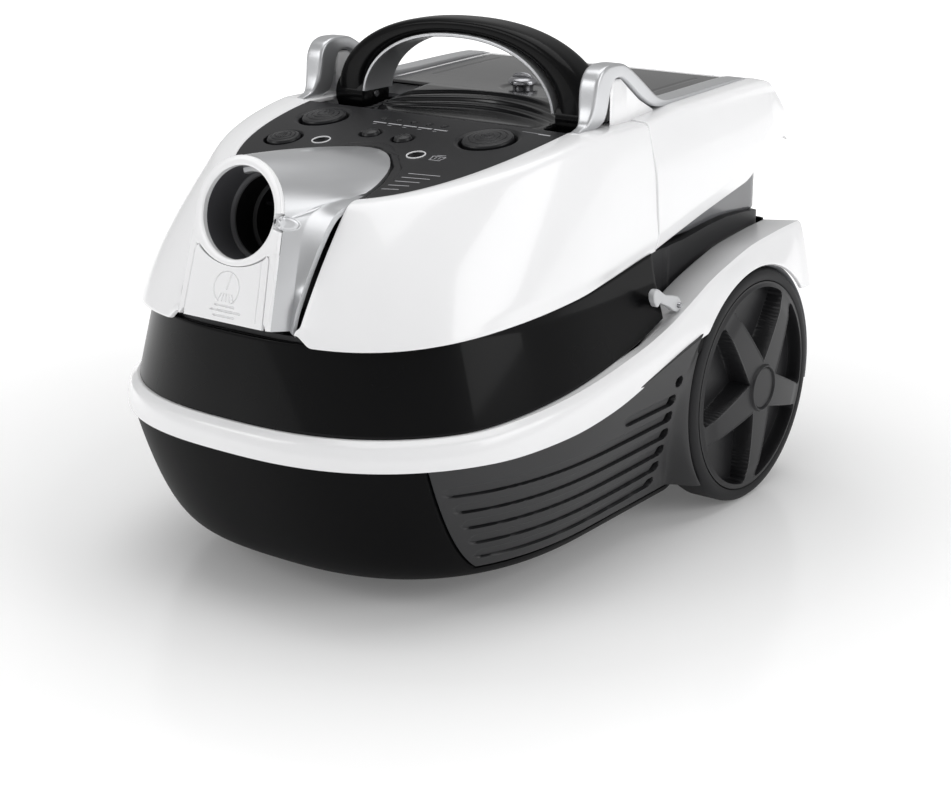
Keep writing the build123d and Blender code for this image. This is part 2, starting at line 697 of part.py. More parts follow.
def hinge_pins():
    """Steel pins of the handle's feet and of the two latches."""
    handle_pin = bar_x(HANDLE_Y, HANDLE_PIVOT_Z, HANDLE_PIN_R, 74.0, 108.0)
    latch_pin = bar_x(LATCH_Y, LATCH_Z, LATCH_PIN_R, LATCH_X0 - 2.8, LATCH_X1 + 2.8)
    return Compound([handle_pin, mirrored(handle_pin), latch_pin, mirrored(latch_pin)])


# ---- wheels ---------------------------------------------------------------------
def tyre():
    ring = bar_x(WHEEL_Y, WHEEL_R, WHEEL_R, WHEEL_IN_X, TYRE_OUT_X)
    return ring - bar_x(WHEEL_Y, WHEEL_R, TYRE_INNER_R, 130, 190)


def hub():
    drum = bar_x(WHEEL_Y, WHEEL_R, TYRE_INNER_R, WHEEL_IN_X + 2, 171)
    dome = Pos(171, WHEEL_Y, WHEEL_R) * Rot(0, 90, 0) * Cone(74, 26, 11, align=(Align.CENTER, Align.CENTER, Align.MIN))
    wheel = drum + dome + bar_x(WHEEL_Y, WHEEL_R, 16.6, 175, HUB_CAP_X)
    for i in range(5):
        turn = math.radians(88.6 + 72 * i)
        near = [(math.cos(turn) * 30, math.sin(turn) * 30)]
        far = [(math.cos(turn + a) * 70, math.sin(turn + a) * 70) for a in (-0.42, 0.0, 0.42)]
        points = [(WHEEL_Y + y, WHEEL_R + z) for y, z in near + far]
        wheel = wheel - side_prism(points, 200, 166)
    wheel = wheel - bar_x(WHEEL_Y, WHEEL_R, 70, 130, 160)
    wheel = wheel + bar_x(WHEEL_Y, WHEEL_R, 14, WHEEL_IN_X, 162)
    return wheel - bar_x(WHEEL_Y, WHEEL_R, AXLE_R + 0.08, 130, 176.4)


def caster_fork():
    pin = bar_z(0, CASTER_Y, 5, 45.5, 61)
    crown = bar_z(0, CASTER_Y, 16, 42.8, 45.8)
    fork = pin + crown
    for side in (-1, 1):
        x0 = min(side * 9.4, side * 12.4)
        leg = side_prism([(-14, 45.8), (14, 45.8), (CASTER_TRAIL + 6, 16), (CASTER_TRAIL - 6, 16)], x0 + 3, x0)
        fork = fork + Pos(0, CASTER_Y, 0) * leg
    return fork + bar_x(CASTER_Y + CASTER_TRAIL, CASTER_R, 2.5, -12.4, 12.4)


def caster_wheel():
    wheel = bar_x(CASTER_Y + CASTER_TRAIL, CASTER_R, CASTER_R, -8.8, 8.8)
    return wheel - bar_x(CASTER_Y + CASTER_TRAIL, CASTER_R, 2.58, -20, 20)


# ---- write every node -----------------------------------------------------------
SINGLE = {
    "base_pan": base_pan, "bumper_band": bumper_band, "core_housing": core_housing, "suction_gasket": suction_gasket,
    "control_panel": control_panel, "indicator_rings": indicator_rings,
    "circuit_board": circuit_board, "motor_can": motor_can, "fan_housing": fan_housing,
    "impeller": impeller, "motor_mounts": motor_mounts, "suction_duct": suction_duct,
    "spray_pump": spray_pump, "reel_frame": reel_frame, "cable_drum": cable_drum,
    "exhaust_filter": exhaust_filter, "rear_cover": rear_cover, "cable_outlet": cable_outlet,
    "rear_axle": rear_axle, "arch_liners": arch_liners, "base_screws": base_screws,
    "dirty_tank": dirty_tank, "tank_seal": tank_seal, "tank_lid": tank_lid, "front_shell": front_shell,
    "inlet_housing": inlet_housing, "inlet_face": inlet_face, "inlet_liner": inlet_liner,
    "inlet_elbow": inlet_elbow, "spray_socket": spray_socket, "spray_flap": spray_flap,
    "hose_release_button": hose_release_button, "foam_filter": foam_filter, "float_cup": float_cup, "tank_shell": tank_shell, "tank_body": tank_body,
    "tank_top_plate": tank_top_plate, "tank_valve": tank_valve, "filler_cap": filler_cap,
    "loop_infills": loop_infills, "handle_shell": handle_shell, "handle_trim": handle_trim, "hinge_pins": hinge_pins,
    "caster_fork": caster_fork, "caster_wheel": caster_wheel,
}
PAIRED = {
    "side_grille": side_grille, "bracket": bracket, "latch_lever": latch_lever,
    "tyre": tyre, "hub": hub,
}

for node, make in SINGLE.items():
    save(make(), node)

for node in BUTTONS:
    save(button(node), node)

for node, make in PAIRED.items():
    right = make()
    save(right, node + "_right")
    save(mirrored(right), node + "_left")
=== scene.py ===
import math

import bmesh
import bpy
import numpy as np
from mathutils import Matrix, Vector


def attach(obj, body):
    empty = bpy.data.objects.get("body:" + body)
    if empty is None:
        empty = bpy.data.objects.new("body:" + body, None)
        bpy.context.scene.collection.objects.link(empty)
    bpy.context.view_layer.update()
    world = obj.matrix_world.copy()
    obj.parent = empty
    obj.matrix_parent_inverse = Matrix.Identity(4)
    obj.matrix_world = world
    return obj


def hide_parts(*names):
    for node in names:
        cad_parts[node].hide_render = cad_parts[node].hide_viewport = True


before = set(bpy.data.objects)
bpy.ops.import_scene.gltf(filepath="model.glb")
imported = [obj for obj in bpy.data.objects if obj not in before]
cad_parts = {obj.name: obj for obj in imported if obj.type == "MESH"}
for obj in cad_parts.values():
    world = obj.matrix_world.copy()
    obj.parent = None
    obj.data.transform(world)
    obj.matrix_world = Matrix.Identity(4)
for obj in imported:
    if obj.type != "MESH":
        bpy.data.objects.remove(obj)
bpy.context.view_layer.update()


# ---- camera ----
# A long lens at three-quarter height, in front of the machine and to its right.
camera_data = bpy.data.cameras.new("camera")
camera_data.sensor_width = 36.0
camera_data.lens = 72.55
camera_data.shift_x = -0.0109
camera_data.shift_y = -0.0066
camera = bpy.data.objects.new("camera", camera_data)
bpy.context.scene.collection.objects.link(camera)
turn, pitch = math.radians(36.11), math.radians(17.97)
ahead = Vector((-math.sin(turn) * math.cos(pitch), math.cos(turn) * math.cos(pitch), -math.sin(pitch)))
camera.location = (0.8163, -1.0777, 0.5240)
camera.rotation_mode = "QUATERNION"
camera.rotation_quaternion = ahead.to_track_quat("-Z", "Y")
bpy.context.scene.camera = camera


# ---- studio ----
# A white acrylic floor that fades into a white surround, lit by large soft boxes. The floor also carries a
# painted glow, faint near the machine and strong far from it, which whitens the far floor and leaves it darker
# round the machine.
def hex_colour(code, alpha=1.0):
    """sRGB hex code to linear red, green and blue."""
    parts = np.array([int(code[i:i + 2], 16) for i in (0, 2, 4)]) / 255
    linear = np.where(parts <= 0.04045, parts / 12.92, ((parts + 0.055) / 1.055) ** 2.4)
    return (*linear, alpha)


def add_node(tree, kind, sockets=None, **settings):
    """Adds one node; sockets maps an input's name or number to a value or to an output that feeds it."""
    made = tree.nodes.new(kind)
    for name, value in settings.items():
        setattr(made, name, value)
    for name, value in (sockets or {}).items():
        if isinstance(value, bpy.types.NodeSocket):
            tree.links.new(value, made.inputs[name])
        else:
            made.inputs[name].default_value = value
    return made


def new_material(name):
    """An empty material: its tree, its surface shader and its Object coordinates."""
    material = bpy.data.materials.new(name)
    material.use_nodes = True
    tree = material.node_tree
    shader = tree.nodes["Principled BSDF"]
    place = add_node(tree, "ShaderNodeTexCoord").outputs["Object"]
    return material, tree, shader, place


bpy.context.scene.view_settings.view_transform = "Standard"
world = bpy.data.worlds.new("white_surround")
world.use_nodes = True
bpy.context.scene.world = world
sky = world.node_tree
path_kind = add_node(sky, "ShaderNodeLightPath")
brightness = add_node(sky, "ShaderNodeMapRange",
                      {"Value": path_kind.outputs["Is Camera Ray"], "To Min": 0.4, "To Max": 1.7})
sky.nodes["Background"].inputs["Color"].default_value = (1, 1, 1, 1)
sky.links.new(brightness.outputs["Result"], sky.nodes["Background"].inputs["Strength"])

floor_paint, floor_tree, floor_shader, floor_place = new_material("white_acrylic_floor_painted_glow")
floor_shader.inputs["Base Color"].default_value = hex_colour("FFFFFF")
floor_shader.inputs["Emission Color"].default_value = (1, 1, 1, 1)
# Painted glow: the floor's emission grows with distance from the machine, so the floor is painted darker near
# the machine and white far away.
floor_reach = add_node(floor_tree, "ShaderNodeVectorMath", {0: floor_place}, operation="LENGTH")
floor_glow = add_node(floor_tree, "ShaderNodeMapRange",
                      {"Value": floor_reach.outputs["Value"], "From Min": 0.3, "From Max": 1.3, "To Min": 0.1,
                       "To Max": 0.85})
floor_tree.links.new(floor_glow.outputs["Result"], floor_shader.inputs["Emission Strength"])
floor_haze = add_node(floor_tree, "ShaderNodeTexNoise", {"Vector": floor_place, "Scale": 3.0})
floor_rough = add_node(floor_tree, "ShaderNodeMapRange",
                       {"Value": floor_haze.outputs["Fac"], "To Min": 0.16, "To Max": 0.2})
floor_tree.links.new(floor_rough.outputs["Result"], floor_shader.inputs["Roughness"])
floor_mesh = bpy.data.meshes.new("floor")
floor_mesh.from_pydata([(-15, -8, 0), (15, -8, 0), (15, 22, 0), (-15, 22, 0)], [], [(0, 1, 2, 3)])
floor_mesh.materials.append(floor_paint)
floor = bpy.data.objects.new("floor", floor_mesh)
bpy.context.scene.collection.objects.link(floor)

soft_boxes = {
    "overhead": ((-0.1, 0.1, 1.9), (0, 0.05, 0.2), 1.7, 17.0),
    "right_side": ((2.0, 0.3, 1.0), (0, 0.0, 0.2), 1.2, 11.0),
    "front_left": ((-1.3, -1.9, 1.3), (0, -0.1, 0.2), 1.1, 10.0),
}
for name, (place, target, size, power) in soft_boxes.items():
    light_data = bpy.data.lights.new(name, "AREA")
    light_data.shape = "SQUARE"
    light_data.size = size
    light_data.energy = power
    light = bpy.data.objects.new(name, light_data)
    light.location = place
    light.rotation_mode = "QUATERNION"
    light.rotation_quaternion = (Vector(target) - Vector(place)).to_track_quat("-Z", "Y")
    bpy.context.scene.collection.objects.link(light)


# ---- front container's white shell ----
# Injection-moulded gloss ABS, 3 mm thick: two cheeks that meet the silver inlet housing,
# a convex side wall, a soft shoulder and a sloping rim round the control panel.
CLOUD_MM = 60
WELD_PER_M = 50000


def moulded(name, colour, roughness, grain_mm, relief_mm, gloss=0.0, tint=0.03, spread=0.06, metallic=0.0,
            shine=0.5):
    """Moulded plastic: fine grain as relief, with slow changes of shade and of roughness over the piece."""
    material, tree, shader, place = new_material(name)
    grain = add_node(tree, "ShaderNodeTexNoise", {"Vector": place, "Scale": 1000 / grain_mm, "Detail": 3.0})
    bump = add_node(tree, "ShaderNodeBump", {"Height": grain.outputs["Fac"], "Distance": relief_mm / 1000,
        "Strength": 0.6})
    cloud = add_node(tree, "ShaderNodeTexNoise", {"Vector": place, "Scale": 1000 / CLOUD_MM, "Detail": 2.0})
    base = np.array(hex_colour(colour)[:3])
    ramp = add_node(tree, "ShaderNodeValToRGB", {"Fac": cloud.outputs["Fac"]})
    for stop, at, shade in zip(ramp.color_ramp.elements, (0.3, 0.7), (1 - tint, 1 + tint)):
        stop.position = at
        stop.color = (*np.minimum(base * shade, 1), 1)
    rough = add_node(tree, "ShaderNodeMapRange",
                     {"Value": cloud.outputs["Fac"], "To Min": roughness - spread / 2,
                      "To Max": roughness + spread / 2})
    tree.links.new(ramp.outputs["Color"], shader.inputs["Base Color"])
    tree.links.new(rough.outputs["Result"], shader.inputs["Roughness"])
    tree.links.new(bump.outputs["Normal"], shader.inputs["Normal"])
    settings = {"Metallic": metallic, "IOR": 1.5, "Specular IOR Level": shine, "Coat Weight": gloss,
                "Coat Roughness": 0.06}
    for socket, value in settings.items():
        shader.inputs[socket].default_value = value
    return material


def smooth(low, high, value):
    """0 below low, 1 above high, and a smooth S between them."""
    t = np.clip((value - low) / (high - low), 0, 1)
    return t * t * (3 - 2 * t)


def unit(v):
    """Vectors brought to length one."""
    return v / np.maximum(np.linalg.norm(v, axis=-1, keepdims=True), 1e-9)


def normals_of(grid, wrap=False):
    """Unit normal at each point of a grid: the cross product of its two directions."""
    across = np.gradient(grid, axis=0)
    if wrap:
        along = np.roll(grid, -1, axis=1) - np.roll(grid, 1, axis=1)
    else:
        along = np.gradient(grid, axis=1)
    return unit(np.cross(across, along)), unit(across), unit(along)


def coords(*parts):
    """Points with the given coordinates, which are spread to a common shape."""
    return np.stack(np.broadcast_arrays(*parts), axis=-1)


def between(first, last, shares):
    """Rows of points that lead from one line to another, one row for each share of the way."""
    t = np.reshape(shares, (-1, 1, 1))
    return first * (1 - t) + last * t


def resample(line, share):
    """Points of a line of points at the given shares of its length."""
    step = np.linalg.norm(np.diff(line, axis=0), axis=1)
    length = np.concatenate([[0], np.cumsum(step)]) / step.sum()
    return np.stack([np.interp(share, length, line[:, k]) for k in range(line.shape[1])], axis=-1)


def soften(line, times, axis=0):
    """Rounds the corners of a line or grid: each point moves to the mean of itself and its neighbours."""
    made = np.moveaxis(line.copy(), axis, 0)
    for _ in range(times):
        made[1:-1] = 0.25 * made[:-2] + 0.5 * made[1:-1] + 0.25 * made[2:]
    return np.moveaxis(made, 0, axis)


def mirrored(grid):
    """The same skin on the machine's other side."""
    return grid[:, ::-1] * np.array([-1.0, 1.0, 1.0])


def facing(grid, inside, wrap=False):
    """The grid turned so that its faces look away from a point inside the piece."""
    normal = normals_of(grid, wrap)[0]
    outward = (normal * (grid - np.array(inside))).sum()
    return grid if outward > 0 else grid[:, ::-1]


def shelled(grid, thick, radius=0.8, steps=3):
    """A skin made solid: its edges roll over by a small radius, and an inner skin lies thick behind it."""
    normal, across, along = normals_of(grid)
    turns = [np.concatenate([-np.arange(steps + 1, 0, -1), np.zeros(n), np.arange(1, steps + 2)])
             for n in grid.shape[:2]]
    row, col = turns[0][:, None, None], turns[1][None, :, None]
    row_angle, col_angle = (np.clip(t / steps, -1, 1) * math.pi / 2 for t in (row, col))
    ring = ((steps + 1, steps + 1), (steps + 1, steps + 1), (0, 0))
    point, n, a, b = (np.pad(g, ring, mode="edge") for g in (grid, normal, across, along))
    past = np.maximum(abs(row), abs(col)) > steps
    drop = radius * (1 - np.cos(np.maximum(abs(row_angle), abs(col_angle)))) + (thick - radius) * past
    outer = point + a * radius * np.sin(row_angle) + b * radius * np.sin(col_angle) - n * drop
    inner = outer[steps:-steps, steps:-steps].copy()
    inner[1:-1, 1:-1] = grid - normal * thick
    inner[0], inner[-1] = outer[0, steps:-steps], outer[-1, steps:-steps]
    inner[:, 0], inner[:, -1] = outer[steps:-steps, 0], outer[steps:-steps, -1]
    return [outer, inner[:, ::-1]]


def fit(made, material, body, nodes):
    """Gives an object its material and its body, and says which CAD nodes it replaces."""
    made.data.materials.append(material)
    bpy.context.scene.collection.objects.link(made)
    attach(made, body)
    if nodes:
        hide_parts(*nodes)


def piece(name, grids, material, body, nodes=(), slot=None, wrap=False, crisp=40):
    """Puts grids of points (mm) into one mesh, joins their touching edges, and fits it to its body."""
    points, quads, count = [], [], 0
    for grid in grids:
        index = np.arange(grid.shape[0] * grid.shape[1]).reshape(grid.shape[:2]) + count
        if wrap:
            index = np.hstack([index, index[:, :1]])
        quads.append(coords(index[:-1, :-1], index[1:, :-1], index[1:, 1:], index[:-1, 1:]).reshape(-1, 4))
        points.append(grid.reshape(-1, 3))
        count += grid.shape[0] * grid.shape[1]
    points, quads = np.concatenate(points) / 1000, np.concatenate(quads)
    key = np.round(points * WELD_PER_M).astype(np.int64)
    first, shared = np.unique(key, axis=0, return_index=True, return_inverse=True)[1:]
    faces = shared.reshape(-1)[quads]
    same = np.stack([faces[:, k] == faces[:, (k + 1) % 4] for k in range(4)], axis=1)
    whole = faces[same.sum(1) == 0]
    bent = faces[same.sum(1) == 1]
    gone = same[same.sum(1) == 1].argmax(1)
    keep = (gone[:, None] + np.arange(1, 4)) % 4
    bent = np.take_along_axis(bent, keep, axis=1)
    loops = np.concatenate([whole.ravel(), bent.ravel()])
    starts = np.concatenate([np.arange(len(whole)) * 4, len(whole) * 4 + np.arange(len(bent)) * 3])
    mesh = bpy.data.meshes.new(name)
    mesh.vertices.add(len(first))
    mesh.vertices.foreach_set("co", points[first].ravel())
    mesh.loops.add(len(loops))
    mesh.loops.foreach_set("vertex_index", loops.astype(np.int32))
    mesh.polygons.add(len(starts))
    mesh.polygons.foreach_set("loop_start", starts.astype(np.int32))
    mesh.polygons.foreach_set("use_smooth", np.ones(len(starts), bool))
    mesh.update(calc_edges=True)
    mesh.validate()
    mesh.set_sharp_from_angle(angle=math.radians(crisp))
    fit(bpy.data.objects.new(name, mesh), material, body, nodes)


def ring_piece(name, grid, inside, *fitting, crisp=40):
    """A piece of one grid whose columns close into a ring round a point inside it."""
    piece(name, [facing(grid, inside, True)], *fitting, wrap=True, crisp=crisp)


def deck_height(y):
    """Height of the panel's surface: it falls towards the front, ever more steeply."""
    d = np.maximum(-22 - y, 0)
    return 295 - 0.14 * d - 0.00042 * d * d


def nose(half, reach, power, centre, rear, first_x=0.0):
    """Right half of the plan of a superellipse nose and its straight flank, from first_x to the rear."""
    angle = np.linspace(math.pi / 2, 0, 3000)
    x = half * np.cos(angle).clip(0) ** (2 / power)
    y = centre - reach * np.sin(angle) ** (2 / power)
    line = coords(x, y)[x >= first_x]
    flank = coords(np.full(400, half), np.linspace(centre, rear, 401)[1:])
    return np.concatenate([line, flank])


def height(profile, y):
    """Height of a side profile of (y, z) points at y, with its corners eased."""
    ys, zs = np.array(profile, float).T
    fine = np.linspace(ys[0], ys[-1], 400)
    eased = soften(np.interp(fine, ys, zs), 120)
    return np.interp(y, fine, eased)


SHELL_LOW = [(-260, 185.5), (-225, 186.5), (-136, 192), (-90, 194), (-51, 196), (-10, 201), (26, 206),
             (60, 209)]
COVER_THICK = 2.8
SEAM = [(200, 41.5), (214, 41.0), (235, 38.2), (262, 38.6), (285, 36.6), (300, 36.4)]
white_abs = moulded("white_abs_gloss_moulded", "F4F4F5", 0.24, 1.6, 0.004, gloss=0.5, tint=0.01)
share = np.linspace(0, 1, 190)
low = resample(nose(152, 196.2, 3.15, -34, 41, 50.6), share)
shoulder = resample(nose(141, 185, 2.2, 0, 41, 50.6), share)
rim = resample(nose(114.2, 172.7, 2.5, 0, 41, 50.6), share)
low[:, 0] -= 3.0 * smooth(-60, 40, low[:, 1])
low = np.column_stack([low, height(SHELL_LOW, low[:, 1])])
shoulder = np.column_stack([shoulder, deck_height(shoulder[:, 1]) + 0.8])
rim = np.column_stack([rim, deck_height(rim[:, 1]) + 0.5])
outward = unit(np.gradient(shoulder[:, :2], axis=0)[:, ::-1] * np.array([1, -1]))
up = np.linspace(0, 1, 56)[:, None, None]
swell = (7.0 - 4.6 * smooth(0.05, 0.45, share))[None, :, None]
wall = between(low, shoulder, up)
wall[..., :2] += outward * swell * 4 * up * (1 - up)
tuck = 2.6 * smooth(0.12, 0, up) * smooth(0.25, 0.8, share)[None, :, None]
wall[..., :2] -= outward * tuck
inwards = np.linspace(0, 1, 20)[1:, None, None]
strip = between(shoulder, rim, inwards)
strip[..., 2:] += 1.2 * 4 * inwards * (1 - inwards)
cheek = np.concatenate([wall, strip])
cheek = np.concatenate([cheek[:44], soften(cheek[44:68], 10), cheek[68:]])
seam_y = height(SEAM, cheek[..., 2])
cheek[..., 1] += (seam_y - 0.7 - cheek[:, -1:, 1]) * smooth(0.9, 1, share)[None, :]
corner = smooth(0.035, 0, share)[None, :] * smooth(0.12, 0, np.linspace(0, 1, len(cheek)))[:, None]
cheek[..., 2] += 7 * corner
cheek = facing(cheek, (0, -60, 230))
piece("front_shell_skin", [g for side in (cheek, mirrored(cheek)) for g in shelled(side, COVER_THICK)],
      white_abs, "front_container", ["front_shell"], "white_abs")


# ---- dirty-water tank ----
# The tub under the white shell, moulded in black ABS with a satin polish: its side is the
# machine's dark waist. A band of rubber seals it to the lid.
LEDGE = [(-260, 130.5), (-170, 131), (-89, 140), (-43, 146), (0, 153), (27, 160), (56, 168), (97, 181),
         (145, 192), (197, 196), (240, 197)]


NOSE_Y = -35.0
FLIP = np.array([-1, 1])


def nose_line(half, reach, power, rear, count):
    """Both sides of a nose's plan, from the left rear round its tip to the right rear."""
    line = resample(nose(half, reach, power, NOSE_Y, rear), np.linspace(0, 1, count))
    return np.concatenate([line[::-1] * FLIP, line[1:]])


def fitted(line, size, half, reach, z):
    """A nose's plan line of the given size (half width, reach) brought to another size, at height z."""
    x, y = line[..., 0], line[..., 1]
    return coords(x * half / size[0], np.where(y < NOSE_Y, NOSE_Y + (y - NOSE_Y) * reach / size[1], y), z)


black_satin = moulded("black_abs_satin_moulded", "0B0B0C", 0.28, 0.9, 0.006, gloss=0.12, tint=0.06,
                      shine=0.07)
WAIST = (168, 203.4)
line = nose_line(*WAIST, 2.6, 33.2, 150)
up = np.linspace(0, 1, 40)[:, None]
z = (height(LEDGE, line[:, 1]) + 1) * (1 - up) + (height(SHELL_LOW, line[:, 1]) - 0.5) * up
half, reach = (np.interp(z, [128, 187, 212], sizes) for sizes in ([168, 151.6, 146.5], [203.4, 193.6, 188]))
waist = facing(fitted(line, WAIST, half, reach, z), (0, -60, 160))
piece("dirty_tank_skin", shelled(waist, 3.0), black_satin, "front_container", ["dirty_tank"], "black_gloss")


# ---- bumper band and fenders ----
# One white ABS moulding: a band round the nose whose rear grows into the fenders, with a
# chamfered upper edge and a flat ledge that the front container slides on.
BAND_LOW = [(-260, 112), (-150, 112), (-89, 116), (-43, 122), (10, 134), (51, 144), (71, 148), (240, 150)]
WHEEL_Y, WHEEL_Z, ARCH_R = 139.5, 88.7, 92.5
BAND = (174.6, 210.4)
line = nose_line(*BAND, 2.6, 221.5, 260)
along_y = line[:, 1]
arch = WHEEL_Z + np.sqrt(np.maximum(ARCH_R ** 2 - (along_y - WHEEL_Y) ** 2, 0))
under = np.maximum(height(BAND_LOW, along_y), np.where(abs(along_y - WHEEL_Y) < ARCH_R, arch, 0))
brow = height(LEDGE, along_y) + 1.8 * smooth(20, 90, along_y)
flare = 2.2 * smooth(20, 80, along_y)
ledge_x = np.interp(along_y, [-260, 0, 34, 44, 240], [165, 160, 152, 134.5, 134.5])


def at_width(half, z):
    """The band's plan line moved in or out to a half width, at height z."""
    return fitted(line, BAND, half, BAND[1] + half - BAND[0], z)


foot_line = at_width(175.0 + flare * 0.7, under)
stations = [-35, 30, 80, 220]
chamfer = np.interp(along_y, [-35, 60], [3.6, 2.2])
face_top = at_width(np.interp(along_y, stations, [172.6, 171.2, 168.2, 166.5]), brow - chamfer)
edge = at_width(np.interp(along_y, stations, [168.4, 168.2, 165.8, 164.2]), brow)
inner = at_width(ledge_x, brow - np.interp(along_y, [-35, 60, 240], [0.0, 6.0, 3.0]))
up = np.linspace(0, 1, 22)
band = np.concatenate([between(foot_line, face_top, up), between(face_top, edge, np.linspace(0, 1, 7)[1:]),
                       between(edge, inner, np.linspace(0, 1, 16)[1:])])
band[:22] += unit(band[0] * np.array([1, 1, 0])) * (4 * up * (1 - up))[:, None, None]
band[17:27] = soften(band[17:27], 2)
band = facing(band, (0, 0, 60))
piece("bumper_band_skin", shelled(band, 2.6, 0.7), white_abs, "chassis", ["bumper_band"], "white_abs")

# The arch liner is the white moulding's inner face. Its mid-grey colour is painted shade, standing for the white
# plastic in shadow behind the wheel.
lip_angle = np.linspace(-0.15, 1.75, 60)
lip_x, lip_r = np.array([(143, 93.2), (168.5, 93.2), (171.5, 92.2), (173, 90.6), (171.8, 89.6),
                         (143, 89.6)]).T[..., None]
arch_painted_shade_grey = moulded("arch_painted_shade_grey_moulded", "6E6F72", 0.5, 0.8, 0.01)
lip = coords(lip_x, WHEEL_Y + lip_r * np.sin(lip_angle), WHEEL_Z + lip_r * np.cos(lip_angle))
piece("arch_liner_skin", [lip, mirrored(lip)], arch_painted_shade_grey, "chassis", ["arch_liners"], "light_grey_plastic")


# ---- base pan ----
# The bowl that carries the works: one deep moulding in matt black ABS, rounded into its floor,
# with a rebate for each side grille, a narrow tail between the wheels and a round caster recess.
GRILLE_X, GRILLE_LOW = 129.5, 30.0
CASTER_Y, RECESS_R = -135.0, 47.0
BOWL = (172.5, 208)
TAIL_HALF, TAIL_START = 134, 66


def bowl(z):
    """Half width and reach of the bowl at a height: its wall bends in towards the floor."""
    s = np.clip((z - 18) / 94, 0, 2)
    return 134 + 38.5 * s ** 0.4, 147 + 61 * s ** 0.42


def closed_plan(half):
    """A closed plan made from its right half, which starts and ends on the machine's middle."""
    return np.concatenate([half, half[-2:0:-1] * FLIP])


front = resample(nose(*BOWL, 2.6, NOSE_Y, TAIL_START), np.linspace(0, 1, 330))
step_in = coords(np.linspace(BOWL[0], TAIL_HALF, 14)[1:], TAIL_START)
tail = coords(TAIL_HALF, np.linspace(TAIL_START, 215, 41)[1:])
rear = np.array([(132.2, 219.2), (128, 221.0)])
back = coords(np.linspace(128, 0, 40)[1:], 221.0)
loop = closed_plan(np.concatenate([front, step_in, tail, rear, back]))
top = np.minimum(height(BAND_LOW, loop[:, 1]) - 0.3, 149) + 2.0
rise = np.linspace(1, 0, 70)[:, None] ** 1.2
z = 20.5 + (top[None, :] - 20.5) * rise
wide = fitted(loop, BOWL, *bowl(z), z)
narrow = coords(loop[:, 0], loop[:, 1], np.maximum(z, 22))
is_tail = ((loop[:, 1] >= TAIL_START - 0.1) & (abs(loop[:, 0]) <= TAIL_HALF + 0.1))[None, :, None]
wall = np.where(is_tail, narrow, wide)
rebate = smooth(GRILLE_X - 1.6, GRILLE_X + 0.4, abs(wall[..., 0]))
rebate *= smooth(GRILLE_LOW - 1.4, GRILLE_LOW + 0.2, wall[..., 2]) * (wall[..., 1] <= TAIL_START + 0.5)
wall[..., :2] -= unit(wall[..., :2] - np.array([0.0, NOSE_Y])) * (3.6 * rebate)[..., None]
caster_centre = np.array([0.0, CASTER_Y])
ring_x, ring_y = (unit(loop - caster_centre) * RECESS_R + caster_centre).T
ring_line = coords(ring_x, ring_y, 18.0)
floor_rows = between(wall[-1], ring_line, np.linspace(0, 1, 12)[1:])
cup_rows = coords(ring_x, ring_y, np.array([[18.6], [35.0], [52.0]]))
ceiling = between(coords(ring_x, ring_y, 52.0), np.array([0.0, CASTER_Y, 52.0]), (0, 1))
lip_rows = np.stack([wall[0] - np.column_stack([unit(loop) * 3, np.full(len(loop), d)]) for d in (6.0, 0.0)])
pan = np.concatenate([lip_rows, wall, floor_rows, cup_rows, ceiling])
black_matt = moulded("black_abs_matt_moulded", "0C0C0D", 0.46, 0.8, 0.012, gloss=0.02, tint=0.08, shine=0.05)
ring_piece("base_pan_skin", pan, (0, 0, 110), black_matt, "chassis", ["base_pan"], "black_abs")


# ---- side grilles ----
# Clip-on louvre panels in dark grained ABS. Each long louvre is a shallow channel, deeper and
# open at its rear end, with a slit along its foot; the rear lip flares out to hug the wheel.
PITCH, CHANNEL, FIRST_Z = 12.9, 7.6, 42.0
def table(rows, columns, first=-1):
    """Shares down and across a grid of points: rows run from 0 to 1, columns from first to 1."""
    return np.meshgrid(np.linspace(0, 1, rows), np.linspace(first, 1, columns), indexing="ij")


rows, columns = table(250, 230, 0)
y = 0 * rows
for _ in range(6):
    z = GRILLE_LOW + 0.6 + (height(BAND_LOW, y) + 1.0 - GRILLE_LOW) * rows
    half, reach = bowl(z)
    first = NOSE_Y - reach * (1 - ((GRILLE_X + 0.4) / half).clip(0, 1) ** 2.6) ** (1 / 2.6)
    wheel_edge = WHEEL_Y - np.sqrt(91.0 ** 2 - (z - WHEEL_Z) ** 2)
    y = first + (wheel_edge - first) * columns
x = half * (1 - ((NOSE_Y - y).clip(0) / reach) ** 2.6) ** (1 / 2.6)
x += smooth(15.5, 0.5, wheel_edge - y) * (172.6 - x)
grid = coords(x, y, z)
y, z = grid[..., 1], grid[..., 2]
depth = np.zeros_like(y)
for k in range(7):
    middle = FIRST_Z + PITCH * k + 1.2 * smooth(-20, 35, y) * (1 - k / 5)
    front_end = (-154 - 8 * k, -34.0, 28.0)[max(k - 4, 0)]
    rear_end = (28.0 + 0.7 * k, 31.0, 36.5)[max(k - 4, 0)]
    first, last = front_end + CHANNEL / 2, rear_end - CHANNEL / 2
    gap_y = y - np.clip(y, first, last)
    distance = np.hypot(gap_y, z - middle) - CHANNEL / 2
    slope = np.clip((middle + CHANNEL / 2 - z) / CHANNEL, 0, 1)
    deep = 0.2 + (1.0 + 0.9 * smooth(-120, 10, y)) * slope + 8.0 * smooth(last - 5, last + 1, y)
    depth += smooth(0.2, -0.5, distance) * deep
    slit = smooth(0.7, 0.3, abs(z - middle + CHANNEL / 2 - 0.4)) * (y > first + 2) * (y < last)
    depth += slit * 2.6
outward = normals_of(grid)[0]
outward *= np.sign(outward[125, 115, 0])
grille = facing(grid - outward * depth[..., None], (60, 0, 80))
grille_abs = moulded("dark_abs_grained_moulded", "1E1E20", 0.42, 0.7, 0.014, tint=0.06)
for side, made in (("right", grille), ("left", mirrored(grille))):
    piece("side_grille_%s_skin" % side, [shelled(made, 3.0, 0.6)[0]], grille_abs, "chassis",
          ["side_grille_" + side], "black_abs")


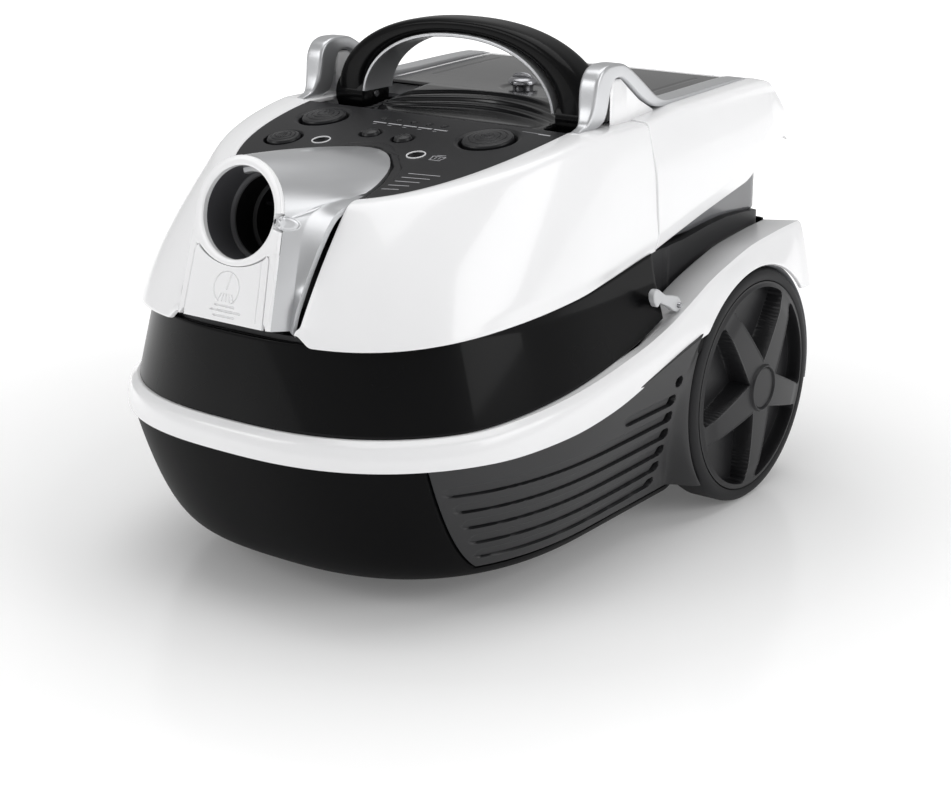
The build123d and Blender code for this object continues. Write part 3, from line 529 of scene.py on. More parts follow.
# ---- clean-water tank ----
# White gloss ABS cover over a smoky clear tank: long flat flanks that tuck in along the foot,
# corners that taper to the tail, and a top that falls away at the back.
TANK_LOW = [(30, 206), (54, 211), (106, 222), (175, 235), (192, 244), (211, 253), (224, 256), (260, 257)]
TANK_TOP = [(30, 295.6), (60, 298), (84, 301), (190, 304.5), (206, 304.5), (214, 302), (235, 284), (246, 268)]
share = np.linspace(0, 1, 220)
CORNER_STOPS = [[0, 0, -4.5, -10, -141], [41, 208, 243, 244.6, 244.6], [112.8, 112.8, 112.8, 104, 0],
                [41, 186, 203, 204.6, 204.6]]
flank_in, flank_y, plate_x, plate_y = (np.interp(share, [0, 0.52, 0.66, 0.7, 1], stops)
    for stops in CORNER_STOPS)
outer = soften(coords(flank_in, flank_y), 7)
low_z, high_z = height(TANK_LOW, outer[:, 1]), height(TANK_TOP, outer[:, 1])
up = np.linspace(0, 1, 60)[:, None]
z = low_z * (1 - up) + high_z * up
x = np.maximum(np.interp(z, [206, 235, 262, 296], [149.5, 148, 145.6, 140.8]) + outer[:, 0], 0)
wall = coords(x, outer[:, 1], z)
sideways = unit(coords(np.gradient(outer[:, 1]), -np.gradient(outer[:, 0])))
plumb = 12 + 10 * smooth(120, 235, outer[:, 1])[None, :]
tuck = 3.2 * np.clip(1 - (z - low_z) / plumb, 0, 1)
fullness = 2.2 * 4 * up * (1 - up)
wall[..., :2] += (fullness - tuck)[..., None] * sideways
wall[:, -1, 0] = 0
inwards = np.linspace(0, 1, 26)[1:, None, None]
rim = between(wall[-1], coords(plate_x, plate_y, 0), inwards)
rim[..., 2] = height(TANK_TOP, rim[..., 1]) + 1.0 * np.sin(inwards[..., 0] * math.pi) + 0.4
cover = np.concatenate([wall, rim])
cover[50:70] = soften(cover[50:70], 6)
cover[..., 1] += (height(SEAM, cover[..., 2]) + 0.7 - 41) * smooth(0.12, 0, share)
cover[:, -1, 0] = 0
cover = facing(cover, (0, 120, 240))
piece("tank_shell_skin", [g for side in (cover, mirrored(cover)) for g in shelled(side, COVER_THICK)],
      white_abs, "clean_tank", ["tank_shell"], "white_abs")


# ---- wheels ----
# Large hub caps of dark grey moulded ABS with five sunken pockets between broad spokes, and
# a plain rubber tyre with soft shoulders pressed over each hub.
HUB_COUNT = 500


def turned(section, count=240, centre=(WHEEL_Y, WHEEL_Z)):
    """A section of (x, radius) points turned about an axis along X through centre."""
    angle = np.linspace(0, 2 * math.pi, count, endpoint=False)
    x, r = np.array(section, float).T
    return coords(x[:, None], centre[0] + r[:, None] * np.cos(angle), centre[1] + r[:, None] * np.sin(angle))


hub_grey = moulded("dark_grey_abs_grained_moulded", "1C1C1E", 0.44, 0.7, 0.012, tint=0.05, shine=0.4)
rubber = moulded("tyre_rubber_vulcanised", "1A1A1C", 0.62, 0.6, 0.02, tint=0.08, shine=0.35)
radius = np.concatenate([np.linspace(*span) for span in ((0, 14.4, 12), (14.6, 19, 16), (19.4, 72, 92),
    (72.2, 78.6, 22))])
r, a = np.meshgrid(radius, np.linspace(0, 2 * math.pi, HUB_COUNT, endpoint=False), indexing="ij")
face = 174.6 + 7.2 * (1 - (r / 78.6) ** 2) ** 0.9 * smooth(78.6, 60, r) + 1.2 * smooth(78.6, 74, r)
face += 2.0 * smooth(1.6, 0.3, abs(r - 16.6)) + 0.6 * smooth(15.4, 14.6, r)
first_pocket = math.radians(88.6)
local = (a - first_pocket + math.pi / 5) % (2 * math.pi / 5) - math.pi / 5
along, aside = r * np.cos(local), abs(r * np.sin(local))
flank = math.radians(40.5)
to_side = aside * math.cos(flank) - (along - 22) * math.sin(flank)
to_rim = r - 74.3
blunt = np.hypot(np.maximum(to_side + 4, 0), np.maximum(to_rim + 4, 0)) + np.minimum(np.maximum(to_side,
    to_rim) + 4, 0) - 4
pocket = smooth(0.55, -0.75, blunt)
floor_x = 164.5 + 3.0 * (1 - (r / 78.6) ** 2)
face = face + pocket * (floor_x - face)
face += 0.35 * smooth(1.2, 0.0, abs(blunt - 0.9)) * (r < 73)
hub_face = coords(face, WHEEL_Y + r * np.cos(a), WHEEL_Z + r * np.sin(a))
hub_back = turned([(172.5, 78.75), (144, 78.75), (144, 70), (160, 68), (162, 20), (144.5, 14), (144.5, 5.2),
                   (150, 5.2)], HUB_COUNT)
hub_front_edge = turned([(174.2, 78.7)], HUB_COUNT)
hub_skin = facing(np.concatenate([hub_face, hub_front_edge, hub_back]), (100, WHEEL_Y, WHEEL_Z), True)
tyre_section = [(146, 79.0), (172.2, 79.0), (174.4, 79.4), (175.0, 80.4), (175.0, 83.5), (174.2, 86.2),
                (172.2, 88.0), (169.5, 88.7), (147.5, 88.7), (144.6, 87.8), (142.8, 85.6), (142.0, 82.5),
                (142.0, 80.2), (143.2, 79.1), (146, 79.0)]
tyre_skin = facing(turned(tyre_section, 300), (160, WHEEL_Y, WHEEL_Z + 84), True)
for side, flip in (("right", False), ("left", True)):
    for name, skin, paint, slot in (("hub", hub_skin, hub_grey, "grey_plastic"),
            ("tyre", tyre_skin, rubber, "tyre_rubber")):
        node = name + "_" + side
        piece(node + "_skin", [mirrored(skin) if flip else skin], paint, "wheel_" + side, [node], slot,
              wrap=True, crisp=50)


# ---- carrying handle ----
# A hollow black ABS arch in two feet, and a silver-lacquered inner liner whose bright front
# edge shows as a thin line.
def swept(upper, lower, sideways, low, high, power=5.0, count=48):
    """A closed bar between two lines of points: its section is a superellipse as tall as the gap
    between the lines, and low to high across along the sideways direction."""
    turn = np.linspace(0, 2 * math.pi, count, endpoint=False)
    c, s = np.cos(turn), np.sin(turn)
    c = (np.sign(c) * abs(c) ** (2 / power))[None, :, None]
    s = (np.sign(s) * abs(s) ** (2 / power))[None, :, None]
    low, high = (np.broadcast_to(np.asarray(v, float), (len(upper),))[:, None, None] for v in (low, high))
    middle, tall = (upper + lower) / 2, (upper - lower) / 2
    ring = middle[:, None] + tall[:, None] * s + np.array(sideways) * ((low + high) / 2 + (high - low) / 2 * c)
    caps = [middle[k, None, None] + np.array(sideways) * (low[k] + high[k]) / 2 + 0 * ring[:1]
            for k in (0, -1)]
    return np.concatenate([caps[0], ring, caps[1]])


def arch_line(half, crown, foot=298.0, count=120):
    """The handle's curve: half across at the feet and crown high, a little squarer than an ellipse."""
    turn = np.linspace(0, math.pi, count)
    side, rise = np.cos(turn), np.sin(turn)
    x = half * np.sign(side) * abs(side) ** 0.9
    return coords(x, 0, foot + (crown - foot) * rise.clip(0))


silver = moulded("silver_lacquered_abs", "C6C7C9", 0.32, 0.45, 0.006, gloss=0.25, tint=0.03, metallic=0.72)
taper = 1.5 * np.sin(np.linspace(0, math.pi, 120))
handle_bar = swept(arch_line(111.6, 360, 302.5), arch_line(84.6, 349.2, 302.5), (0, 1, 0), 4.2 + taper,
                   35.8 - taper, 3.4, 64)
HANDLE_PIVOT = (20.0, 298.0)
foot_section = [(84.4, 0.0), (84.4, 14.0), (85.6, 15.8), (96, 16), (110.2, 15.8), (111.6, 14.4), (111.6, 0.0)]
feet = [facing(turned([(side * x, r) for x, r in foot_section], 72, HANDLE_PIVOT), (side * 98, *HANDLE_PIVOT),
               True) for side in (-1, 1)]
ring_piece("handle_bar", handle_bar, (0, 20, 300), black_satin, "handle", ["handle_shell"], "black_gloss")
piece("handle_feet", feet, black_satin, "handle", (), "black_gloss", wrap=True)
trim_upper, trim_lower = arch_line(85.2, 349.8), arch_line(82.2, 346.8)
liner = swept(trim_upper[3:-3], trim_lower[3:-3], (0, 1, 0), 3.6, 36.0, 7.0, 56)
ring_piece("handle_liner", liner, (0, 20, 250), silver, "handle", ["handle_trim"], "silver_paint")


# ---- silver brackets ----
# Die-cast look in silver-lacquered ABS: a loop at each foot of the handle, with a thin blade
# in front of it, running back into a rail along the tank's top. White wedges fill the loops.
def standing(x, flat):
    """A line of (y, z) points that stands at x."""
    return coords(x, flat[:, 0], flat[:, 1])


over = np.array([(-24, 297.0), (-15, 300), (-11, 310), (-8.5, 328), (-3, 335.5), (6, 338.6), (24, 338),
                 (34, 333), (50, 322.5), (68, 310), (80, 305.6), (110, 306.3), (160, 307.8), (192, 308),
                 (203, 304.6)], float)
below = np.array([(-24, 295.2), (-6, 295.6), (4, 300), (7.5, 314), (9.5, 322), (12.8, 327), (16, 328.3),
                  (22, 328.2), (30, 324), (47.2, 311.4), (66.4, 301.4), (100, 300.6), (160, 303.2),
                  (192, 304.4), (203, 303.6)], float)
share = np.linspace(0, 1, 130)
key = np.linspace(0, 1, len(over))
over, below = (soften(coords(*(np.interp(share, key, part) for part in edge.T)), 10)
               for edge in (over, below))
narrow = 117.5 - 4.7 * smooth(0.02, 0.2, share)
wide = 124 + 4 * smooth(0.02, 0.2, share) - 1.5 * smooth(0.75, 1, share)
strap = swept(standing(0, over), standing(0, below), (1, 0, 0), narrow, wide, 7.0, 52)
strap = facing(strap, (120, 60, 250), True)
wedge_line = np.array([(9.6, 320), (13, 327.2), (24, 327.2), (47, 310.4), (65, 301.2)], float)
wedge_line = resample(wedge_line, np.linspace(0, 1, 40))
wedge_foot = coords(wedge_line[:, 0], np.minimum(296.8, wedge_line[:, 1] - 0.5))
wedge_section = [(126.4, 0), (126.4, 0.94), (125.6, 0.985), (124.4, 1), (116.6, 1), (115.4, 0.985),
                 (114.6, 0.94), (114.6, 0)]
wedge = np.stack([standing(x, wedge_foot * (1 - t) + wedge_line * t) for x, t in wedge_section])
wedge = facing(wedge, (120, 30, 300))
for side in ("right", "left"):
    body = mirrored(strap) if side == "left" else strap
    piece("bracket_%s_skin" % side, [body], silver, "clean_tank", ["bracket_" + side], "silver_paint",
          wrap=True)
piece("loop_infill_skin", [wedge, mirrored(wedge)], white_abs, "clean_tank", ["loop_infills"], "white_abs")


# ---- inlet housing ----
# The silver-lacquered hood behind the hose inlet: an arch that spreads and sinks to a round tip
# in the panel, with a crisp edge down each flank and a narrow flange into the gap of the shell.
LEAN = math.radians(15.5)
FACE_CENTRE = np.array([0.0, -221.5, 262.8])
FACE_UP = np.array([0.0, math.sin(LEAN), math.cos(LEAN)])
FACE_OUT = np.array([0.0, -math.cos(LEAN), math.sin(LEAN)])


def on_face(x, rise, out=0.0):
    """Points in the leaning inlet face: x across, rise up along it, and out in front of it."""
    x, rise, out = (part[..., None] for part in np.broadcast_arrays(np.asarray(x, float), rise, out))
    return FACE_CENTRE + x * np.array([1.0, 0, 0]) + rise * FACE_UP + out * FACE_OUT


tip_line = np.array([(0, -91.2), (9, -92.0), (19, -96.6), (27, -103.2), (36, -114), (42.5, -126),
                     (46.8, -139), (48.6, -148), (48.8, -156.6)])
tip_line = np.column_stack([tip_line, deck_height(tip_line[:, 1]) + 0.6])
edge_line = np.array([(46.5, -177, 268.9), (44.4, -190, 268.2), (43.4, -199, 265.2), (42.9, -205.2, 260.4),
                      (42.7, -209.4, 254), (42.8, -213, 243), (43.0, -216, 231), (43.3, -220, 214.9),
                      (44.2, -226, 194.0)])
outer_line = np.concatenate([resample(soften(resample(tip_line, np.linspace(0, 1, 200)), 60),
    np.linspace(0, 1, 60)), resample(soften(resample(edge_line, np.linspace(0, 1, 120)), 30),
    np.linspace(0, 1, 50))[1:]])
outer_line[59:62] = soften(outer_line[57:64], 2)[2:5]
swing = np.linspace(math.pi / 2, 0, 60)
fall = np.minimum.accumulate(np.minimum(outer_line[60:, 2], 262.4) - 262.8) - np.linspace(0.2, 2.0, 49)
fall *= 69.5 / abs(fall[-1])
front_rim = np.concatenate([on_face(36.0 * np.cos(swing), 36.0 * np.sin(swing), -3.0),
                            on_face(36 - 0.0345 * fall, fall, -3.0)])
across = np.linspace(0, 1, 46)[:, None, None]
hood = between(front_rim, outer_line, across)
puff = 4 * across[..., 0] * (1 - across[..., 0])
hood[..., 2] += 1.6 * puff * smooth(58, 20, np.arange(109))[None, :]
flange_out = np.array([(49.0, -157.0, 268.2), (49.8, -170, 266.0), (50, -181, 264.0), (49.9, -188, 260.8),
                       (49.7, -194.5, 254.4), (49.5, -203.5, 242.4), (49.3, -214, 226.5), (49.0, -225, 207.0),
                       (48.2, -228.5, 193.4)])
flange_out = resample(soften(resample(flange_out, np.linspace(0, 1, 120)), 12), np.linspace(0, 1, 50))
flange_in = outer_line[59:]
flange = between(flange_in, flange_out, np.linspace(0, 1, 12)[1:])
sink = flange[-1][None] + np.array([0.8, 3.0, -3.0]) * np.linspace(0, 1, 5)[1:, None,
    None] * np.array([0.3, 1, 1])
hood = facing(hood, (0, -160, 220))
flange = facing(np.concatenate([flange_in[None], flange, sink]), (20, -190, 220))
tip_wall = np.stack([outer_line[:60], outer_line[:60] - np.array([0, 0, 6.0])])
tip_wall = facing(tip_wall, (0, -150, 270))
parts = [hood, flange, tip_wall]
piece("inlet_housing_skin", parts + [mirrored(g) for g in parts], silver, "front_container",
      ["inlet_housing"], "silver_paint", crisp=26)


# ---- inlet face, liner and release button ----
# The white ABS face is a ring round the hose bore with two legs beside the spray flap. The bore
# behind it is lined in dark grey ABS with a step, a black throat and a bright locking ledge.
ring_angle = np.linspace(0, 2 * math.pi, 200, endpoint=False)
half_turn = np.linspace(0, math.pi, 90)
flap_arc = np.linspace(-28.6, 28.6, 60)
flap_top = 10.1 - np.sqrt(44.0 ** 2 - flap_arc ** 2)
left_edge = np.array([(-35.9, -4), (-36.1, -12), (-36.5, -22.5), (-34.5, -22.8), (-32.2, -23.0),
                      (-30.6, -23.8), (-29.6, -24.0)])
outline = np.concatenate([np.column_stack([35.9 * np.cos(half_turn), 35.9 * np.sin(half_turn)]), left_edge,
                          np.column_stack([flap_arc, flap_top]), left_edge[::-1] * np.array([-1, 1])])
outline = resample(np.concatenate([outline, outline[:1]]), np.linspace(0, 1, 361)[:-1])
spoke = unit(outline)
rows = []
for share_out, out in ((0.0, -4.0), (0.0, -0.6), (0.08, -0.1), (0.2, 0.15), (0.85, 0.15), (0.96, -0.1),
                       (1.0, -0.6), (1.0, -3.0)):
    flat = spoke * 29.6 * (1 - share_out) + outline * share_out
    recess = smooth(1.25, 1.02, np.hypot((flat[:, 0] - 39.6) / 8.4, (flat[:, 1] + 2) / 5.2))
    rows.append(on_face(flat[:, 0] - 1.5 * recess, flat[:, 1], out - 3.6 * recess))
face_ring = np.stack(rows)
drop = np.linspace(-22.0, -69.3, 90)
inner_x = np.interp(drop, [-69.3, -68.6, -67.8, -66.4, -65.4, -27.5, -24.2, -22],
                    [36.4, 36.4, 35.6, 35.2, 33.7, 31.4, 30.6, 30.4])
outer_x = np.interp(drop, [-69.3, -22, 0], [38.4, 36.7, 36.0])
leg_section = [(0.0, -3.0), (0.0, -0.5), (0.12, 0.1), (0.88, 0.1), (1.0, -0.5), (1.0, -3.0)]
leg = np.stack([on_face(inner_x + (outer_x - inner_x) * t, drop, d) for t, d in leg_section])
leg = facing(leg, tuple(on_face(34.5, -45, -4.0)))
ring_piece("inlet_face_ring", face_ring, tuple(FACE_CENTRE - 8 * FACE_OUT), white_abs, "front_container",
           ["inlet_face"], "white_abs")
piece("inlet_face_legs", [leg, mirrored(leg)], white_abs, "front_container", (), "white_abs")

def round_bore(section, angle):
    """A section of (radius, out) points carried round the axis of the bore."""
    return np.stack([on_face(r * np.cos(angle), r * np.sin(angle), out) for r, out in section])


liner_grey = moulded("grey_abs_bore_moulded", "4A4A4D", 0.42, 0.7, 0.008, tint=0.05)
throat_black = moulded("black_rubber_throat_moulded", "0A0A0B", 0.5, 0.7, 0.012, tint=0.05)
bore = round_bore([(29.7, -1.5), (29.7, -26.0), (28.6, -27.2), (27.2, -27.4)], ring_angle)
bore = facing(bore, tuple(FACE_CENTRE - 10 * FACE_OUT), True)[:, ::-1]
ledge = round_bore([(29.8, -11.0), (26.8, -11.4), (26.2, -12.4), (26.4, -16.0), (29.8, -16.6)],
                   np.linspace(0.25 * math.pi, 0.62 * math.pi, 40))
piece("inlet_liner_bore", [bore], liner_grey, "front_container", ["inlet_liner"], "dark_liner", wrap=True)
piece("hose_locking_ledge", [facing(ledge, tuple(on_face(0, 33, -14)))], silver, "front_container", (),
      "silver_paint")
throat = round_bore([(27.2, -27.4), (26.6, -27.8), (26.5, -38), (26.5, -44), (24.0, -45), (24.0, -60),
                     (23.5, -66)], ring_angle)
throat = facing(throat, tuple(FACE_CENTRE - 40 * FACE_OUT), True)[:, ::-1]
piece("inlet_throat", [throat], throat_black, "front_container", (), "dark_liner", wrap=True)

button_angle = np.linspace(0, 2 * math.pi, 96, endpoint=False)
rows = []
for k, lift in ((1.0, -2.0), (1.0, 0.25), (0.95, 0.4), (0.88, 0.42), (0.84, 0.2), (0.8, 0.36), (0.5, 0.4),
                (0.0, 0.4)):
    along, rise = 4.2 + 8.2 * k * np.cos(button_angle), -2.0 + 4.6 * k * np.sin(button_angle)
    corner = smooth(-0.6, 2.6, along)
    x = 36.0 + np.minimum(along, 0) * 0.9 + 0.61 * np.maximum(along - 2.6, 0) + (0.85 * lift) * corner
    rows.append(on_face(x, rise, lift * (1 - corner) + 0.52 * lift * corner - np.maximum(along, 0)))
ring_piece("hose_release_button_skin", np.stack(rows), (28, -210, 262.0), silver, "hose_release_button",
           ["hose_release_button"], "silver_paint")


# ---- spray flap ----
# White ABS door over the spray socket, hinged at its foot. A shower sign and three grip bars are
# moulded into it.
FLAP_FOOT, SIGN_RISE, SIGN_R = -69.2, -48, 10.6
rows, columns = table(170, 170)
crown = 9.5 - np.sqrt(44.0 ** 2 - (columns * 28.6) ** 2)
rise = crown * (1 - rows) + FLAP_FOOT * rows
half = np.interp(rise, [FLAP_FOOT, -27, -25.2, -24.0], [33.0, 30.8, 30.2, 28.6])
x = columns * half
sign_r = np.hypot(x, rise - SIGN_RISE)
groove = smooth(0.5, 0.15, abs(sign_r - SIGN_R)) * (np.sin(np.arctan2(rise - SIGN_RISE, x)) > -0.85)
groove = np.maximum(groove, smooth(0.75, 0.3, abs(x - 1.2 - 0.25 * (rise + 45))) * (rise > -49) * (rise < -38.5))
for k in range(5):
    jet = abs(x - (-3.6 + 2.1 * k) - (k - 2) * 0.22 * (-51 - rise))
    groove = np.maximum(groove, smooth(0.5, 0.2, jet) * (rise > -56.5) * (rise < -51.5))
for level, left, right in ((-59.4, -8, 8), (-62.6, -11, 13.5), (-66.0, -8, 9)):
    grip = smooth(0.8, 0.4, abs(rise - level)) * smooth(left - 0.8, left, x) * smooth(right + 0.8, right, x)
    groove = np.maximum(groove, 1.6 * grip)
groove = np.maximum(groove, 0.7 * smooth(0.45, 0.15, abs(x - half + 5.2)) * (rise > -66))
door = facing(on_face(x, rise, 0.1 - 0.8 * groove), tuple(on_face(0, -45, -8)))
piece("spray_flap_skin", shelled(door, 2.4, 0.35), white_abs, "spray_flap", ["spray_flap"], "white_abs")


# ---- control panel ----
# Black satin ABS facia set into the shell, with dished wells round the buttons, five small lamp
# holes, a dark groove round the silver hood and grey pad printing.
BUTTONS = {"power": (-77.0, -48.6, 16.0, 21.5), "rewind": (69.0, -51.0, 18.0, 23.5),
           "spray": (-75.0, -94.0, 12.0, 14.5), "minus": (-18.9, -67.1, 6.5, 8.8),
           "plus": (10.8, -69.1, 6.5, 8.8)}
LAMP_WELLS = [(-44.3, -89.8), (40.4, -92.4)]
rows, columns = table(240, 270)
y = -22.3 - 149.6 * rows ** 0.92
x = 113.3 * (1 - (-y / 172) ** 2.5).clip(0) ** (1 / 2.5) * columns
z = deck_height(y) + 0.3
for cx, cy, r_button, r_well in BUTTONS.values():
    away = np.hypot(x - cx, y - cy)
    z -= 1.6 * smooth(r_well, r_button + 0.8, away) + 10.0 * smooth(r_button + 1.9, r_button + 1.0, away)
for cx, cy in LAMP_WELLS:
    z -= 5.0 * smooth(6.2, 5.4, np.hypot(x - cx, y - cy))
for k in range(5):
    z -= 3.0 * smooth(2.7, 1.9, np.hypot(x + 29 - 13.1 * k, y + 39))
outline = np.array([(0, -91), (19, -96.6), (36, -114), (46.8, -139), (48.8, -156), (50, -180)])
reach_x = np.interp(-y, -outline[:, 1], outline[:, 0])
beyond = np.where(y > -91, np.hypot(x, y + 112) - 21, abs(x) - reach_x)
z -= 3.0 * smooth(3.4, 2.4, beyond) + 4 * smooth(0.5, -1.5, beyond)
z -= 0.7 * smooth(0.9, 0.4, abs(beyond - 9.5)) * (x > -20) * (y > -133)
facia = facing(coords(x, y, z), (0, -80, 200))
panel_black = moulded("black_abs_facia_spark_eroded", "19191B", 0.4, 0.5, 0.012, tint=0.06, shine=0.28)
piece("control_panel_skin", [shelled(facia, 2.6, 0.4)[0]], panel_black, "chassis", ["control_panel"],
      "black_abs", crisp=60)

key_black = moulded("black_abs_key_moulded", "1C1C1E", 0.36, 0.5, 0.01, tint=0.05, shine=0.35)
TILT = math.radians(10.5)


def on_panel(cx, cy, base, along_x, along_y, lift):
    """Points near (cx, cy) on the sloping panel: along it from there, and lift above it."""
    return coords(cx + along_x, cy + along_y * math.cos(TILT) - lift * math.sin(TILT),
                  deck_height(cy) + base + along_y * math.sin(TILT) + lift * math.cos(TILT))


spin = np.linspace(0, 2 * math.pi, 140, endpoint=False)
ring_share = np.concatenate([np.linspace(0, 1, 90), [1.0, 1.0]])[:, None]
for name, (cx, cy, r_button, _) in BUTTONS.items():
    r = r_button * ring_share * 0.985 + 0 * spin
    dome = 1.9 * (1 - (r / r_button) ** 2) + 0.9
    for share_r in (0.5, 0.74):
        dome -= 0.45 * smooth(0.7, 0.2, abs(r - share_r * r_button)) * (r_button > 10)
    dome -= 1.2 * smooth(r_button - 1.2, r_button, r)
    dome[-2:] = [[-0.6], [-5.0]]
    lx, ly = r * np.cos(spin), r * np.sin(spin)
    if name == "power":
        mark = smooth(0.55, 0.2, abs(np.hypot(lx, ly) - 4.2)) * (ly < 3)
        mark += smooth(0.5, 0.2, abs(lx)) * (ly > 0.5) * (ly < 6)
    elif name == "rewind":
        mark = smooth(0.5, 0.2, abs(np.hypot(lx, ly) - 4.6)) * (abs(lx) > 1.2)
        mark += smooth(0.45, 0.2, abs(ly - 0.3 * lx)) * (abs(lx) < 2.6)
    elif name == "spray":
        mark = sum(smooth(0.5, 0.2, abs(lx - k * (1.3 - 0.16 * ly))) * (abs(ly + 1) < 4)
                   for k in (-2, -1, 0, 1, 2))
    else:
        mark = smooth(0.55, 0.25, abs(ly)) * (abs(lx) < 2.6)
        mark = np.maximum(mark, smooth(0.55, 0.25, abs(lx)) * (abs(ly) < 2.6) * (name == "plus"))
    dome = dome + 0.35 * np.clip(mark, 0, 1)
    key, node = on_panel(cx, cy, 0.2, lx, ly, dome), name + "_button"
    ring_piece(node + "_skin", key, (cx, cy, deck_height(cy) - 19.8), key_black, node, [node], "black_abs",
               crisp=60)

lamp_white = moulded("white_abs_lamp_ring", "E6E6E8", 0.3, 0.5, 0.004, gloss=0.2)
spin = np.linspace(0, 2 * math.pi, 80, endpoint=False)
r, lift = np.array([(5.9, -0.3), (5.9, 0.2), (6.1, 0.45), (6.6, 0.45), (6.8, 0.2), (6.8, -2.0)]).T[..., None]
rings = [facing(on_panel(cx, cy, 0.4, r * np.cos(spin), r * np.sin(spin), lift),
                (cx, cy, deck_height(cy) - 4), True) for cx, cy in LAMP_WELLS]
piece("indicator_rings_skin", rings, lamp_white, "chassis", ["indicator_rings"], "white_abs", wrap=True)


# ---- pad printing on the panel ----
# Thin light-grey ink: a level bar under the lamp holes, a rule along the panel's rear edge, a
# bucket sign beside the right lamp, and short rules where the programmes are listed.
def printed(start, end, wide):
    """A flat strip of ink between two points (x, y) of the panel, standing 0.05 mm proud of it."""
    start, end = np.array(start, float), np.array(end, float)
    along = np.linspace(0, 1, 24)[:, None]
    middle = start * (1 - along) + end * along
    sideways = unit((end - start)[::-1] * FLIP) * wide / 2
    flat = np.stack([middle - sideways, middle, middle + sideways])
    strip = np.dstack([flat, deck_height(flat[..., 1]) + 0.37])
    return facing(strip, (0, -80, 200))


ink = moulded("light_grey_pad_printing_ink", "A9A9AC", 0.5, 0.3, 0.004, tint=0.05)
marks = [printed((-33 + 13.3 * k, -46.6), (-21.4 + 13.3 * k, -46.6), 1.5) for k in range(5)]
marks += [printed((-31 + 13.1 * k, -50.0), (-27.5 + 13.1 * k, -50.0), 0.6) for k in range(5)]
REAR_RULE = [((82, -29.4), (104, -30.4), 0.6), ((96, -30.8), (106, -31.2), 1.6)]
BUCKET = [((54, -96.5), (63, -96.5), 0.7), ((54.6, -95.8), (53.2, -90.2), 0.7),
          ((62.4, -95.8), (63.8, -90.2), 0.7), ((53.4, -90.2), (63.6, -90.2), 0.7),
          ((55.4, -88.6), (61.8, -87.6), 0.7), ((57.2, -94.5), (57.0, -91.4), 0.6),
          ((60, -94.5), (60.2, -91.4), 0.6)]
marks += [printed(*line) for line in REAR_RULE + BUCKET]
marks += [printed((56 - 0.4 * k, -120.5 - 6.4 * k), (80 - 3.4 * k, -118.0 - 6.4 * k), 0.8) for k in range(5)]
piece("panel_printing", marks, ink, "chassis")


# ---- deck, bulkhead and shelf ----
# One large black ABS moulding: a glossy scoop under the handle that climbs in curved steps to the
# tank's plate, and the box under the clean tank whose sides show at the rear.
rows, columns = table(210, 220)
x, y = 112.0 * columns, -22.0 + 83.4 * rows
inward = smooth(84, 62, abs(x))
bend = 40 - 0.0046 * x ** 2
climb = sum(tall * smooth(-soft, soft, y - bend - at) for tall, soft,
            at in ((2.6, 1.2, 0), (3.2, 1.2, 7), (3.4, 1.4, 15)))
scoop = 2.4 * smooth(-18, 8, y) * smooth(62, 30, y)
z = height([(-22, 291.4), (10, 292.6), (61, 293.6)], y) + (climb - scoop) * inward
z = np.where(abs(x) > 78, np.minimum(z, 290.6), np.minimum(z, 302.2))
z -= 0.8 * smooth(1.1, 0.3, abs(abs(x) - 76 - 0.1 * (y - 20))) * smooth(-14, -8, y) * smooth(40, 30, y)
z -= 3 * smooth(-20.6, -22, y)
z -= 9.5 * smooth(78.6, 80.6, abs(x)) * smooth(0, 2.5, y) * smooth(49.5, 47, y)
deck = facing(coords(x, y, z), (0, 20, 100))
black_deck = moulded("black_abs_polished_deck", "111113", 0.2, 1.2, 0.004, gloss=0.3, tint=0.05, spread=0.05,
                     shine=0.4)
piece("deck_skin", [shelled(deck, 2.6, 0.4)[0]], black_deck, "chassis", ["core_housing"], "black_gloss",
      crisp=60)

corner = np.linspace(0, math.pi / 2, 12)


def boxed(front, rear, count):
    """Plan of a box with round corners: each end gives its y, the x where its straight ends, and its
    corner's centre (x, y) and radius; the rear end also gives a point of the flank."""
    (front_y, front_x, ax, ay, a), (rear_y, rear_x, bx, by, b), side = front, rear[:5], rear[5]
    half = np.concatenate([[(0, front_y), (front_x, front_y)],
                           coords(ax + a * np.sin(corner), ay - a * np.cos(corner)), [side],
                           coords(bx + b * np.cos(corner), by + b * np.sin(corner)),
                           [(rear_x, rear_y), (0, rear_y)]])
    return closed_plan(resample(half, np.linspace(0, 1, count)))


plan = boxed((46, 118, 124, 54, 8), (221, 60, 122, 211, 10, (132, 130)), 180)
top_z = height([(40, 200), (104, 202), (139, 206), (166, 207.4), (194, 206.4), (225, 202.6)],
               plan[:, 1]) - 0.6
up = np.linspace(0, 1, 40)[:, None]
box_wall = coords(plan[:, 0], plan[:, 1], 151 * (1 - up) + top_z * up)
shut = np.array([0.985, 0.95, 0.5, 0.0])[:, None]
box_top = coords(plan[:, 0] * shut, 133 + (plan[:, 1] - 133) * shut,
                 np.minimum(top_z, 202.4 + 5 * (shut > 0.94)) + 0.3)
rib = 0.8 * smooth(2.2, 1.4, abs(box_wall[..., 1] - 80)) * (abs(box_wall[..., 0]) > 125)
box_wall[..., 0] += rib * np.sign(box_wall[..., 0])
shelf_black = moulded("black_abs_shelf_moulded", "1B1B1D", 0.4, 0.8, 0.01, tint=0.05, shine=0.35)
ring_piece("shelf_skin", np.concatenate([box_wall, box_top]), (0, 133, 170), shelf_black, "chassis", (),
           "black_gloss")

